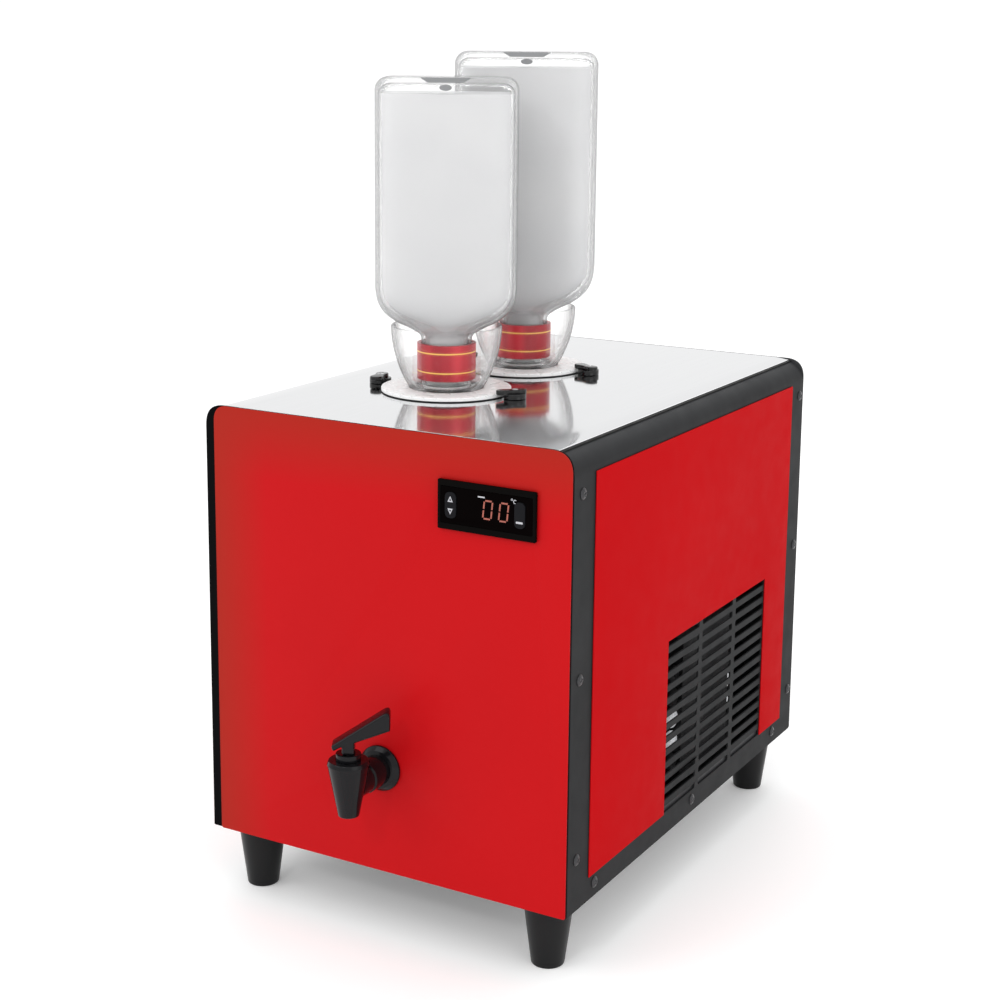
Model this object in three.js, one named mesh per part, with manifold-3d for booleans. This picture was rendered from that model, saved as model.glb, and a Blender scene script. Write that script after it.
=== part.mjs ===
// Countertop chilled drink dispenser fed by two inverted bottles.
// Millimetres, +Z up, the tap faces -Y. The origin is under the middle of the whole machine, at the feet.
import * as THREE from "three";
import { mergeVertices } from "three/addons/utils/BufferGeometryUtils.js";
import Module from "manifold-3d";

const wasm = await Module();
wasm.setup();

// ---- Driving dimensions ----
const gap = 0.3; // left wherever two pieces meet
const caseWidth = 306;
const caseDepth = 426;
const caseHeight = 331;
const caseCornerRadius = 16;
const sheetThickness = 1.5; // painted steel panels and the base tray
const fasciaThickness = 1.0;
const flangeDepth = 24; // returns that the side screws go into
const flangeEndGap = 4;

const footHeight = 50;
const footTopRadius = 18;
const footBottomRadius = 12;
const footInset = 27;

const fasciaInset = 8.3; // black strip left showing at the fascia's left edge
const skinThickness = 0.8; // coloured sheet on each side
const skinInsetFront = 34;
const skinInsetRear = 28;
const skinInsetBottom = 18;
const skinInsetTop = 19;

const ventFront = 159; // window in the coloured sheet, measured from the front
const ventLength = caseDepth - ventFront - 75;
const ventTop = 156;
const ventColumns = 3;
const ventRows = 14;
const ventSlotHeight = 5.2;
const ventWeb = 5;
const ventPost = 6.5;
const rearVentColumns = 2;
const rearVentRows = 8;
const rearVentSlotLength = 62;
const rearVentBottom = 190;

const topThickness = 1.0;
const topInset = 13;
const topEdgeDrop = 1.0;
const topEdgeBlend = 18;

const cupX = -30.5;
const cupFrontY = 141;
const cupSpacing = 121;
const portRadius = 20;
const collarRadius = 50;
const collarThickness = 3;
const bowlBaseRadius = 28.6;
const bowlRimRadius = 42.5;
const bowlHeight = 50;
const bowlWall = 2.5;
const spikeRadius = 9;
const spikeBore = 5;
const spikeFlangeRadius = 18;
const spikeFlangeThickness = 2;
const spikeHeight = 26;

// Each bottle's body: top is the height of its base above the top panel, and fill that of its drink.
const bottles = {
  front: { width: 107, thickness: 75, shoulderEnd: 81, top: 238, fill: 226 },
  rear: { width: 114, thickness: 79, shoulderEnd: 86, top: 256, fill: 244 },
};
const bottleTurn = 29; // degrees that the bottles' broad faces are turned
const neckRadius = 19.5;
const neckHeight = 42;
const glassWall = 3;
const glassBase = 5;
const labelRadius = neckRadius + 3;
const labelBottom = 10.2;
const labelHeight = 27.5;

const clampPivotRadius = collarRadius + 10.5; // each clamp's screw, from its cup's centre
const clampReach = 15;
const clampTail = 9;
const clampWidth = 10;
const clampHeight = 7;
const clampScrewRadius = 2;
const clampTurns = { front_right: 51, front_left: -75, rear_right: -24, rear_left: 24 };

const tapX = 1.5;
const tapHeight = 79.8; // tap's centre line above the case floor
const tapReach = 41; // spout's axis in front of the fascia
const tapFlangeRadius = 17;
const tapFlangeThickness = 5;
const shankRadius = 8;
const shankLength = 36; // behind the fascia
const tapNeckRadius = 11.5;
const spoutTopRadius = 15;
const spoutBottomRadius = 7.5;
const spoutHeight = 41.5;
const spoutTopAboveAxis = 20.5;
const spoutBore = 4.5;
const bonnetRadius = 9;
const bonnetHeight = 5;
const leverTurn = 30; // degrees from +X towards the case
const leverWidth = 14;
const leverNeckWidth = 8.4;
const leverPinHeight = 4.7; // pin above the bonnet
const stemRadius = 2.2;
const stemEyeHeight = 2.2; // stem above the pin
const pinRadius = 1.5;
const pinClearance = 0.12;

const controlX = caseWidth / 2 - 64;
const controlZ = caseHeight - 47.3;
const bezelWidth = 77;
const bezelHeight = 35;
const bezelDepth = 3;
const cutoutWidth = 71;
const cutoutHeight = 29;
const controlBodyDepth = 58;
const windowWidth = 71;
const windowHeight = 25;
const windowThickness = 1;
const rockerX = -28;
const rockerWidth = 8.9;
const rockerHeight = 18.5;
const setKeyX = 26.2;
const setKeyWidth = 8.2;
const setKeyHeight = 18.2;
const keyDepth = 2;
const keyTravel = 0.8;

const tankWidth = 110;
const tankLength = 230;
const tankHeight = caseHeight - 213; // leaves the compressor's height under it
const tankRadius = 36;
const tankWall = 1.5;
const coilTubeRadius = 3.2;
const coilTurns = 3;
const coilClearance = 2.4; // between the tube's centre line circle and the tank, for the chords of its bends
const foamWall = 24;
const foamLidThickness = 20;
const foamTopClearance = 8; // under the top panel's flanges
const outletRadius = 6;

const compressorX = 75 - caseWidth / 2;
const compressorY = caseDepth - 108;
const compressorRadius = 55;
const compressorHeight = 118;
const condenserX = caseWidth / 2 - 35;
const condenserThickness = 24;
const condenserFront = ventFront + 55;
const condenserLength = 100;
const condenserBottom = 22;
const condenserHeight = 118;
const drierX = compressorX + compressorRadius + 23;
const bendPitch = 18;
const bendTubeRadius = 3.2;
const fanRadius = 46;
const fanDepth = 14;
const fanHubRadius = 14;
const bladeCount = 5;
const bladePitch = 38; // degrees
const motorRadius = 24;
const motorLength = 38;

const inletX = caseWidth / 2 - 58;
const inletZ = 60;
const inletWidth = 48;
const inletHeight = 28;
const switchX = inletX - 50;
const switchWidth = 19;
const switchHeight = 13;
const switchThrow = 8; // degrees either side of level

// ---- Materials ----
const paint = (color, roughness, metalness) =>
  new THREE.MeshStandardMaterial({ color, roughness, metalness });
const clear = (color, opacity, roughness) =>
  new THREE.MeshStandardMaterial({ color, roughness, metalness: 0, transparent: true, opacity });
const materials = {
  black_steel: paint(0x35363a, 0.45, 0.2),
  red_skin: paint(0xc1161b, 0.4, 0),
  stainless: paint(0xdadcde, 0.12, 1),
  black_plastic: paint(0x111213, 0.35, 0),
  tap_black: paint(0x0c0d0e, 0.18, 0),
  white_plastic: paint(0xf0f0ee, 0.3, 0),
  clear_plastic: clear(0xf4f7f8, 0.3, 0.05),
  bottle_glass: clear(0xf2f6f6, 0.3, 0.03),
  drink: clear(0xf6f8f8, 0.2, 0.05),
  label_red: paint(0xb5232b, 0.35, 0),
  display: paint(0x140606, 0.08, 0),
  key_grey: paint(0x2a2b2d, 0.5, 0),
  copper: paint(0xb87351, 0.3, 1),
  aluminium: paint(0xc8ccd0, 0.35, 1),
  foam: paint(0xd8cfae, 0.9, 0),
  compressor_paint: paint(0x17181a, 0.35, 0.3),
};

// ---- Helpers ----
const radians = THREE.MathUtils.degToRad;

function toSolid(geometry) {
  const bare = geometry.clone();
  bare.deleteAttribute("normal");
  bare.deleteAttribute("uv");
  const welded = mergeVertices(bare, 1e-4);
  const vertProperties = new Float32Array(welded.attributes.position.array);
  const triVerts = new Uint32Array(welded.index.array);
  return new wasm.Manifold(new wasm.Mesh({ numProp: 3, vertProperties, triVerts }));
}

function toGeometry(solid) {
  const made = solid.getMesh();
  const geometry = new THREE.BufferGeometry();
  geometry.setAttribute("position", new THREE.BufferAttribute(made.vertProperties, 3));
  geometry.setIndex(new THREE.BufferAttribute(made.triVerts, 1));
  geometry.computeVertexNormals();
  return geometry;
}

const join = (first, ...rest) => toGeometry(rest.reduce((sum, g) => sum.add(toSolid(g)), toSolid(first)));
const cut = (first, ...rest) => toGeometry(rest.reduce((sum, g) => sum.subtract(toSolid(g)), toSolid(first)));

// A box between two corners.
function box(low, high) {
  const size = high.map((value, i) => value - low[i]);
  const middle = high.map((value, i) => (value + low[i]) / 2);
  return new THREE.BoxGeometry(...size).translate(...middle);
}

// A solid of revolution about Z. The outline's [radius, z] points run anticlockwise.
function turned(outline, segments) {
  const closed = outline[0][0] === 0 ? outline : [...outline, outline[0]];
  const points = closed.map(([r, z]) => new THREE.Vector2(r, z));
  return new THREE.LatheGeometry(points, segments).rotateX(Math.PI / 2);
}

// A cylinder or cone about Z between two heights.
function post(bottomRadius, topRadius, low, high, segments) {
  const height = high - low;
  const shape = new THREE.CylinderGeometry(topRadius, bottomRadius, height, segments);
  return shape.rotateX(Math.PI / 2).translate(0, 0, low + height / 2);
}

const rod = (radius, low, high, segments) => post(radius, radius, low, high, segments);
const alongX = (geometry) => geometry.rotateY(Math.PI / 2);
const alongY = (geometry) => geometry.rotateX(-Math.PI / 2);

// A shape drawn in X and Z, extruded from one Y to another.
function acrossDepth(shape, low, high, curveSegments = 4) {
  const options = { depth: high - low, bevelEnabled: false, curveSegments };
  return new THREE.ExtrudeGeometry(shape, options).rotateX(Math.PI / 2).translate(0, high, 0);
}

// A shape drawn in Y and Z, extruded from one X to another.
function acrossWidth(shape, low, high, curveSegments = 4) {
  const options = { depth: high - low, bevelEnabled: false, curveSegments };
  const turn = new THREE.Matrix4().makeBasis(
    new THREE.Vector3(0, 1, 0),
    new THREE.Vector3(0, 0, 1),
    new THREE.Vector3(1, 0, 0),
  );
  return new THREE.ExtrudeGeometry(shape, options).applyMatrix4(turn).translate(low, 0, 0);
}

const outlineOf = (points) => new THREE.Shape(points.map(([u, v]) => new THREE.Vector2(u, v)));

// A rectangle with its own radius at each corner, from bottom left anticlockwise.
function roundedRectangle(left, bottom, right, top, [bottomLeft, bottomRight, topRight, topLeft]) {
  const shape = new THREE.Shape();
  shape.moveTo(left + bottomLeft, bottom);
  shape.lineTo(right - bottomRight, bottom);
  if (bottomRight) shape.absarc(right - bottomRight, bottom + bottomRight, bottomRight, -Math.PI / 2, 0);
  shape.lineTo(right, top - topRight);
  if (topRight) shape.absarc(right - topRight, top - topRight, topRight, 0, Math.PI / 2);
  shape.lineTo(left + topLeft, top);
  if (topLeft) shape.absarc(left + topLeft, top - topLeft, topLeft, Math.PI / 2, Math.PI);
  shape.lineTo(left, bottom + bottomLeft);
  if (bottomLeft) shape.absarc(left + bottomLeft, bottom + bottomLeft, bottomLeft, Math.PI, 1.5 * Math.PI);
  return shape;
}

const softRectangle = (width, height, radius, x = 0, z = 0) =>
  roundedRectangle(x - width / 2, z - height / 2, x + width / 2, z + height / 2, Array(4).fill(radius));

const machine = new THREE.Group();

function place(name, geometry, material, parent = machine) {
  const mesh = new THREE.Mesh(geometry, materials[material]);
  mesh.name = name;
  parent.add(mesh);
  return mesh;
}

function group(x, y, z, turn = 0, parent = machine) {
  const made = new THREE.Group();
  made.position.set(x, y, z);
  made.rotation.z = radians(turn);
  parent.add(made);
  return made;
}

// ---- Case ----
const halfWidth = caseWidth / 2;
const frontPlateStart = fasciaThickness + gap;
const insideFront = frontPlateStart + sheetThickness + gap;
const insideRear = caseDepth - sheetThickness - gap;
const rollTop = caseHeight - topThickness - topEdgeDrop - gap;
const flangeOuter = halfWidth - sheetThickness - gap;
const flangeInner = flangeOuter - sheetThickness;
const frontFlangeEnd = insideFront + flangeDepth;
const rearFlangeStart = insideRear - flangeDepth;
const flangeTop = rollTop - caseCornerRadius - flangeEndGap;

function ventSlots() {
  const pitch = ventSlotHeight + ventWeb;
  const slotLength = (ventLength - (ventColumns - 1) * ventPost) / ventColumns;
  const slots = [];
  for (let column = 0; column < ventColumns; column++)
    for (let row = 0; row < ventRows; row++) {
      const y = ventFront + column * (slotLength + ventPost);
      const z = ventTop - ventSlotHeight - row * pitch;
      slots.push(box([flangeInner - gap, y, z], [halfWidth + 1, y + slotLength, z + ventSlotHeight]));
    }
  return slots;
}

function sidePanelGeometry() {
  const inner = halfWidth - sheetThickness;
  const centreX = halfWidth - caseCornerRadius;
  const centreZ = rollTop - caseCornerRadius;
  const profile = new THREE.Shape();
  profile.moveTo(inner, 0);
  profile.lineTo(halfWidth, 0);
  profile.absarc(centreX, centreZ, caseCornerRadius, 0, Math.PI / 2);
  profile.lineTo(centreX - flangeDepth, rollTop);
  profile.lineTo(centreX - flangeDepth, rollTop - sheetThickness);
  profile.absarc(centreX, centreZ, caseCornerRadius - sheetThickness, Math.PI / 2, 0, true);
  return cut(acrossDepth(profile, insideFront, insideRear, 5), ...ventSlots());
}

function skinGeometry() {
  const shape = outlineOf([
    [skinInsetFront, skinInsetBottom],
    [ventFront, skinInsetBottom],
    [ventFront, ventTop],
    [ventFront + ventLength, ventTop],
    [ventFront + ventLength, skinInsetBottom],
    [caseDepth - skinInsetRear, skinInsetBottom],
    [caseDepth - skinInsetRear, caseHeight - skinInsetTop],
    [skinInsetFront, caseHeight - skinInsetTop],
  ]);
  return acrossWidth(shape, halfWidth + gap, halfWidth + gap + skinThickness);
}

function sides() {
  for (const [side, sign] of [["right", 1], ["left", -1]]) {
    place(`${side}_side_panel`, sidePanelGeometry(), "black_steel").scale.x = sign;
    place(`${side}_red_skin`, skinGeometry(), "red_skin").scale.x = sign;
  }
}

const endOutline = () => roundedRectangle(
  -halfWidth, 0, halfWidth, caseHeight, [0, 0, caseCornerRadius, caseCornerRadius],
);

const endFlange = (sign, low, high) => {
  const x = [sign * flangeInner, sign * flangeOuter].sort((a, b) => a - b);
  return box([x[0], low, flangeEndGap], [x[1], high, flangeTop]);
};

const controlCutout = (low, high) => box(
  [controlX - cutoutWidth / 2, low, controlZ - cutoutHeight / 2],
  [controlX + cutoutWidth / 2, high, controlZ + cutoutHeight / 2],
);

const shankHole = (low, high) =>
  alongY(rod(shankRadius + gap, low, high, 20)).translate(tapX, 0, tapHeight);

function frontPanel() {
  const plateEnd = frontPlateStart + sheetThickness;
  const plate = acrossDepth(endOutline(), frontPlateStart, plateEnd, 5);
  const flanges = [1, -1].map((sign) => endFlange(sign, plateEnd - 0.1, frontFlangeEnd));
  const holes = [controlCutout(0, plateEnd + 1), shankHole(0, plateEnd + 1)];
  place("front_panel", cut(join(plate, ...flanges), ...holes), "black_steel");
}

function frontFascia() {
  const radii = [3, 3, caseCornerRadius, caseCornerRadius - fasciaInset / 2];
  const outline = roundedRectangle(-halfWidth + fasciaInset, 0, halfWidth, caseHeight, radii);
  const plate = acrossDepth(outline, 0, fasciaThickness, 5);
  const holes = [controlCutout(-1, fasciaThickness + 1), shankHole(-1, fasciaThickness + 1)];
  place("front_fascia", cut(plate, ...holes), "red_skin");
}

function rearVentSlots() {
  const slots = [];
  for (let column = 0; column < rearVentColumns; column++)
    for (let row = 0; row < rearVentRows; row++) {
      const x = (column - rearVentColumns / 2) * (rearVentSlotLength + ventPost) + ventPost / 2;
      const z = rearVentBottom + row * (ventSlotHeight + ventWeb);
      slots.push(box([x, insideRear - 1, z], [x + rearVentSlotLength, caseDepth + 1, z + ventSlotHeight]));
    }
  return slots;
}

const rearWindow = (x, z, width, height) => box(
  [x - width / 2 - gap, insideRear - 1, z - height / 2 - gap],
  [x + width / 2 + gap, caseDepth + 1, z + height / 2 + gap],
);

const inletBodyWidth = inletWidth - 21;
const inletBodyHeight = inletHeight - 8;

function rearPanel() {
  const plateStart = caseDepth - sheetThickness;
  const plate = acrossDepth(endOutline(), plateStart, caseDepth, 5);
  const flanges = [1, -1].map((sign) => endFlange(sign, rearFlangeStart, plateStart + 0.1));
  const windows = [
    rearWindow(inletX, inletZ, inletBodyWidth, inletBodyHeight),
    rearWindow(switchX, inletZ, switchWidth, switchHeight),
  ];
  place("rear_panel", cut(join(plate, ...flanges), ...rearVentSlots(), ...windows), "black_steel");
}

function topPanel() {
  const edge = halfWidth - topInset;
  const flat = edge - topEdgeBlend;
  const under = caseHeight - topThickness;
  const profile = new THREE.Shape();
  profile.moveTo(-edge, under - topEdgeDrop);
  profile.quadraticCurveTo(-flat - topEdgeBlend / 2, under, -flat, under);
  profile.lineTo(flat, under);
  profile.quadraticCurveTo(flat + topEdgeBlend / 2, under, edge, under - topEdgeDrop);
  profile.lineTo(edge, caseHeight - topEdgeDrop);
  profile.quadraticCurveTo(flat + topEdgeBlend / 2, caseHeight, flat, caseHeight);
  profile.lineTo(-flat, caseHeight);
  profile.quadraticCurveTo(-flat - topEdgeBlend / 2, caseHeight, -edge, caseHeight - topEdgeDrop);
  const ports = [0, 1].map((i) =>
    rod(portRadius, under - 2, caseHeight + 2, 24).translate(cupX, cupFrontY + i * cupSpacing, 0));
  place("top_panel", cut(acrossDepth(profile, insideFront, insideRear, 3), ...ports), "stainless");
}

function baseTray() {
  const trayStart = frontFlangeEnd + gap;
  const trayEnd = rearFlangeStart - gap;
  const wallTop = flangeDepth;
  const floor = box([-flangeOuter, insideFront, 0], [flangeOuter, insideRear, sheetThickness]);
  const walls = [-flangeOuter, flangeInner].map((x) =>
    box([x, trayStart, 0], [x + sheetThickness, trayEnd, wallTop]));
  place("base_tray", join(floor, ...walls), "black_steel");
}

function feet() {
  const outline = [
    [0, -footHeight],
    [footBottomRadius - 1, -footHeight],
    [footBottomRadius, -footHeight + 1.5],
    [footTopRadius, -4],
    [footTopRadius, -gap],
    [0, -gap],
  ];
  for (const [end, y] of [["front", footInset], ["rear", caseDepth - footInset]])
    for (const [side, sign] of [["left", -1], ["right", 1]])
      place(`${end}_${side}_foot`, turned(outline, 16), "black_plastic")
        .position.set(sign * (halfWidth - footInset), y, 0);
}

// ---- Tap ----
function tap() {
  const front = group(tapX, 0, tapHeight);
  const neckEnd = -(tapReach - spoutTopRadius * 0.6);
  const flangeOutline = [
    [shankRadius + gap, gap],
    [tapFlangeRadius, gap],
    [tapFlangeRadius, 2],
    [tapNeckRadius + 2, tapFlangeThickness],
    [shankRadius + gap, tapFlangeThickness],
  ];
  // The flange's own axis points out of the case, towards -Y.
  place("tap_flange", turned(flangeOutline, 28).rotateX(Math.PI / 2), "tap_black", front);
  const shank = alongY(rod(shankRadius, -tapFlangeThickness - 6, shankLength, 16));
  const bore = alongY(rod(spoutBore, 0, shankLength + 1, 12));
  place("tap_shank", cut(shank, bore), "tap_black", front);
  const nut = alongY(rod(shankRadius + 5, insideFront + gap, insideFront + gap + 6, 6));
  const nutHole = alongY(rod(shankRadius + gap, insideFront - 1, insideFront + 10, 16));
  place("tap_nut", cut(nut, nutHole), "white_plastic", front);
  tapBody(front, neckEnd);
  tapTop(group(0, -tapReach, spoutTopAboveAxis, leverTurn, front));
}

function tapBody(front, neckEnd) {
  const outline = [
    [0, spoutTopAboveAxis - spoutHeight],
    [spoutBottomRadius, spoutTopAboveAxis - spoutHeight],
    [spoutTopRadius, spoutTopAboveAxis - 2],
    [spoutTopRadius - 1, spoutTopAboveAxis],
    [0, spoutTopAboveAxis],
  ];
  const spout = turned(outline, 24).translate(0, -tapReach, 0);
  const neck = alongY(rod(tapNeckRadius, neckEnd - 4, -tapFlangeThickness - gap, 24));
  const socket = alongY(rod(shankRadius + gap, -tapFlangeThickness - 6 - gap, 0, 16));
  const passage = alongY(rod(spoutBore, -tapReach, 0, 12));
  const mouth = rod(spoutBore, spoutTopAboveAxis - spoutHeight - 1, 1, 12).translate(0, -tapReach, 0);
  const stemWay = rod(stemRadius + gap, 0, spoutTopAboveAxis + 1, 12).translate(0, -tapReach, 0);
  place("tap_body", cut(join(spout, neck), socket, passage, mouth, stemWay), "tap_black", front);
}

function leverGeometry() {
  const half = leverNeckWidth / 2;
  const outline = new THREE.Shape();
  outline.moveTo(half, leverPinHeight);
  outline.lineTo(half, 9);
  outline.lineTo(28.5, 18.2);
  outline.lineTo(28.5, 29.4);
  outline.quadraticCurveTo(28, 32.4, 25, 31.6);
  outline.lineTo(-10.4, 8.2);
  outline.quadraticCurveTo(-13.4, 4.6, -10.4, 3.2);
  outline.lineTo(-half, 6.4);
  outline.lineTo(-half, leverPinHeight);
  outline.absarc(0, leverPinHeight, half, Math.PI, 2 * Math.PI);
  const body = acrossDepth(outline, -leverWidth / 2, leverWidth / 2, 4);
  // The stem swings towards +X in this pocket as the raised end is pressed down.
  const pocketHalf = stemRadius + gap;
  const eyeSweep = Math.hypot(stemRadius, stemEyeHeight) + gap;
  const pocket = box([-eyeSweep, -pocketHalf, -1], [half + 1, pocketHalf, leverPinHeight + eyeSweep]);
  const pinHole = alongY(rod(pinRadius + pinClearance, -leverWidth, leverWidth, 12));
  return cut(body, pocket, pinHole.translate(0, 0, leverPinHeight));
}

function tapTop(top) {
  const bonnet = rod(bonnetRadius, gap, bonnetHeight, 20);
  const well = rod(stemRadius + gap, 0, bonnetHeight + 1, 12);
  place("tap_bonnet", cut(bonnet, well), "tap_black", top);
  const lever = group(0, 0, bonnetHeight, 0, top);
  place("tap_lever", leverGeometry(), "tap_black", lever);
  const stem = rod(stemRadius, -bonnetHeight - 14, leverPinHeight + stemEyeHeight, 12);
  const eye = alongY(rod(pinRadius + pinClearance, -6, 6, 12)).translate(0, 0, leverPinHeight);
  place("tap_stem", cut(stem, eye), "stainless", lever);
  const pin = alongY(rod(pinRadius, -leverWidth / 2 + 0.5, leverWidth / 2 - 0.5, 12));
  place("tap_pin", pin.translate(0, 0, leverPinHeight), "stainless", lever);
}

// ---- Bottle cups ----
const bowlSeat = gap;
const bowlFloor = 3;

// Outside radius of the bowl at a share of its height.
const bowlRadius = (share) =>
  bowlBaseRadius + (bowlRimRadius - bowlBaseRadius) * Math.pow(Math.sin((Math.PI / 2) * share), 0.82);

function bowlOutline() {
  const steps = [0, 0.1, 0.22, 0.38, 0.6, 1];
  const baseZ = collarThickness + 2 * gap;
  const height = (share) => baseZ + (bowlHeight - baseZ) * share;
  const outside = steps.map((share) => [bowlRadius(share), height(share)]);
  const inside = steps.slice(1).reverse().map((share) => [bowlRadius(share) - bowlWall, height(share)]);
  return [
    [spikeRadius + gap, bowlSeat],
    [bowlBaseRadius + 4, bowlSeat],
    [bowlBaseRadius + 4, bowlSeat + 1.2],
    [bowlBaseRadius, bowlSeat + 1.2],
    ...outside,
    ...inside,
    [bowlBaseRadius - bowlWall, bowlFloor],
    [spikeRadius + gap, bowlFloor],
  ];
}

function collarOutline() {
  const top = gap + collarThickness;
  const hole = bowlBaseRadius + gap;
  const rebate = bowlBaseRadius + 4 + gap;
  const rebateTop = bowlSeat + 1.2 + gap;
  return [
    [rebate, gap],
    [collarRadius, gap],
    [collarRadius, top - 0.8],
    [collarRadius - 0.8, top],
    [hole, top],
    [hole, rebateTop],
    [rebate, rebateTop],
  ];
}

const spikeSeat = bowlFloor + gap;
const bottleMouth = spikeSeat + spikeFlangeThickness + gap;

function spikeOutline() {
  return [
    [spikeBore, -tankTopDepth - 6],
    [spikeRadius, -tankTopDepth - 6],
    [spikeRadius, spikeSeat],
    [spikeFlangeRadius, spikeSeat],
    [spikeFlangeRadius, spikeSeat + spikeFlangeThickness],
    [spikeRadius, spikeSeat + spikeFlangeThickness],
    [spikeRadius, spikeHeight - 6],
    [spikeBore + 2, spikeHeight],
    [spikeBore, spikeHeight],
  ];
}

// One ring of points round a shape between an ellipse (power 2) and a rectangle (a high power).
function ringPoints([z, halfX, halfY, power], count) {
  const soften = (value) => Math.sign(value) * Math.pow(Math.abs(value), 2 / power);
  return Array.from({ length: count }, (_, i) => {
    const angle = (2 * Math.PI * (i + 0.5)) / count;
    return [halfX * soften(Math.cos(angle)), halfY * soften(Math.sin(angle)), z];
  });
}

// A skin over stacked rings, closed at the last ring and at the first, or back to the first if hollow.
function lofted(rings, count, hollow) {
  const vertices = rings.flatMap((ring) => ringPoints(ring, count)).flat();
  const faces = [];
  const band = (a, b) => {
    for (let i = 0; i < count; i++) {
      const j = (i + 1) % count;
      faces.push(a * count + i, a * count + j, b * count + j, a * count + i, b * count + j, b * count + i);
    }
  };
  for (let i = 0; i + 1 < rings.length; i++) band(i, i + 1);
  if (hollow) band(rings.length - 1, 0);
  else
    for (const [ring, upward] of [[0, false], [rings.length - 1, true]])
      for (let i = 1; i + 1 < count; i++) {
        const fan = [ring * count, ring * count + i, ring * count + i + 1];
        faces.push(...(upward ? fan : fan.reverse()));
      }
  const geometry = new THREE.BufferGeometry();
  geometry.setAttribute("position", new THREE.Float32BufferAttribute(vertices, 3));
  geometry.setIndex(faces);
  geometry.computeVertexNormals();
  return geometry;
}

const bottleSegments = 24;

// The bottle's outer rings from its mouth, which points down, to its base, drawn in by a wall.
function bottleRings(bottle, inset) {
  const halfX = bottle.width / 2;
  const halfY = bottle.thickness / 2;
  const shoulder = bottle.shoulderEnd - neckHeight;
  const at = (share) => neckHeight + shoulder * share;
  return [
    [neckHeight, neckRadius - inset, neckRadius - inset, 2],
    [at(0.13) + inset * 0.7, neckRadius * 1.25 - inset, neckRadius * 1.2 - inset, 2],
    [at(0.3) + inset * 0.7, halfX * 0.68 - inset, halfY * 0.8 - inset, 2.3],
    [at(0.5) + inset * 0.6, halfX * 0.87 - inset, halfY * 0.92 - inset, 3],
    [at(0.75) + inset * 0.3, halfX * 0.97 - inset, halfY * 0.985 - inset, 4],
    [at(1), halfX - inset, halfY - inset, 5],
  ];
}

function bottleGeometry(bottle) {
  const halfX = bottle.width / 2;
  const halfY = bottle.thickness / 2;
  const innerTop = bottle.top - glassBase;
  const neck = (inset) => [bottleMouth, neckRadius - inset, neckRadius - inset, 2];
  const outer = [
    neck(0),
    ...bottleRings(bottle, 0),
    [bottle.top - 9, halfX, halfY, 5],
    [bottle.top - 3, halfX - 2.5, halfY - 2.5, 5],
    [bottle.top, halfX - 9, halfY - 9, 4.5],
  ];
  const hollowed = [
    neck(glassWall),
    ...bottleRings(bottle, glassWall),
    [innerTop - 6, halfX - glassWall, halfY - glassWall, 5],
    [innerTop, halfX - 10, halfY - 10, 4.5],
  ];
  const bottomedOut = [[bottleMouth - 1, ...neck(glassWall).slice(1)], ...hollowed.slice(1)];
  return cut(lofted(outer, bottleSegments, false), lofted(bottomedOut, bottleSegments, false));
}

function drinkGeometry(bottle) {
  const inset = glassWall + gap;
  const rings = bottleRings(bottle, inset);
  const neck = [[spikeHeight + 2, neckRadius - inset, neckRadius - inset, 2]];
  const top = [[bottle.fill, bottle.width / 2 - inset, bottle.thickness / 2 - inset, 5]];
  return lofted([...neck, ...rings, ...top], bottleSegments, false);
}

function clampGeometry() {
  const holdZ = gap + collarThickness + gap;
  const half = clampWidth / 2;
  // Waisted bar: round lobes at both ends, a narrower middle. +X points at the cup.
  const bar = new THREE.Shape();
  bar.absarc(clampReach - half, 0, half, -Math.PI / 2, Math.PI / 2);
  bar.quadraticCurveTo((clampReach - clampTail) / 2, half - 1.6, -clampTail + half, half);
  bar.absarc(-clampTail + half, 0, half, Math.PI / 2, 1.5 * Math.PI);
  bar.quadraticCurveTo((clampReach - clampTail) / 2, -half + 1.6, clampReach - half, -half);
  const options = { depth: clampHeight - holdZ, bevelEnabled: false, curveSegments: 3 };
  const plate = new THREE.ExtrudeGeometry(bar, options).translate(0, 0, holdZ);
  const boss = rod(clampTail - 0.5, gap, holdZ + 1, 14);
  const screwHole = rod(clampScrewRadius + gap, 0, clampHeight + 1, 8);
  const headSeat = rod(clampScrewRadius + 1.5 + gap, clampHeight - 1.6, clampHeight + 1, 8);
  return cut(join(plate, boss), screwHole, headSeat);
}

function clampScrewGeometry() {
  const seat = clampHeight - 1.6 + gap;
  return turned([
    [0, gap],
    [clampScrewRadius, gap],
    [clampScrewRadius, seat],
    [clampScrewRadius + 1.5, seat],
    [clampScrewRadius + 1.2, clampHeight],
    [0, clampHeight],
  ], 8);
}

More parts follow.
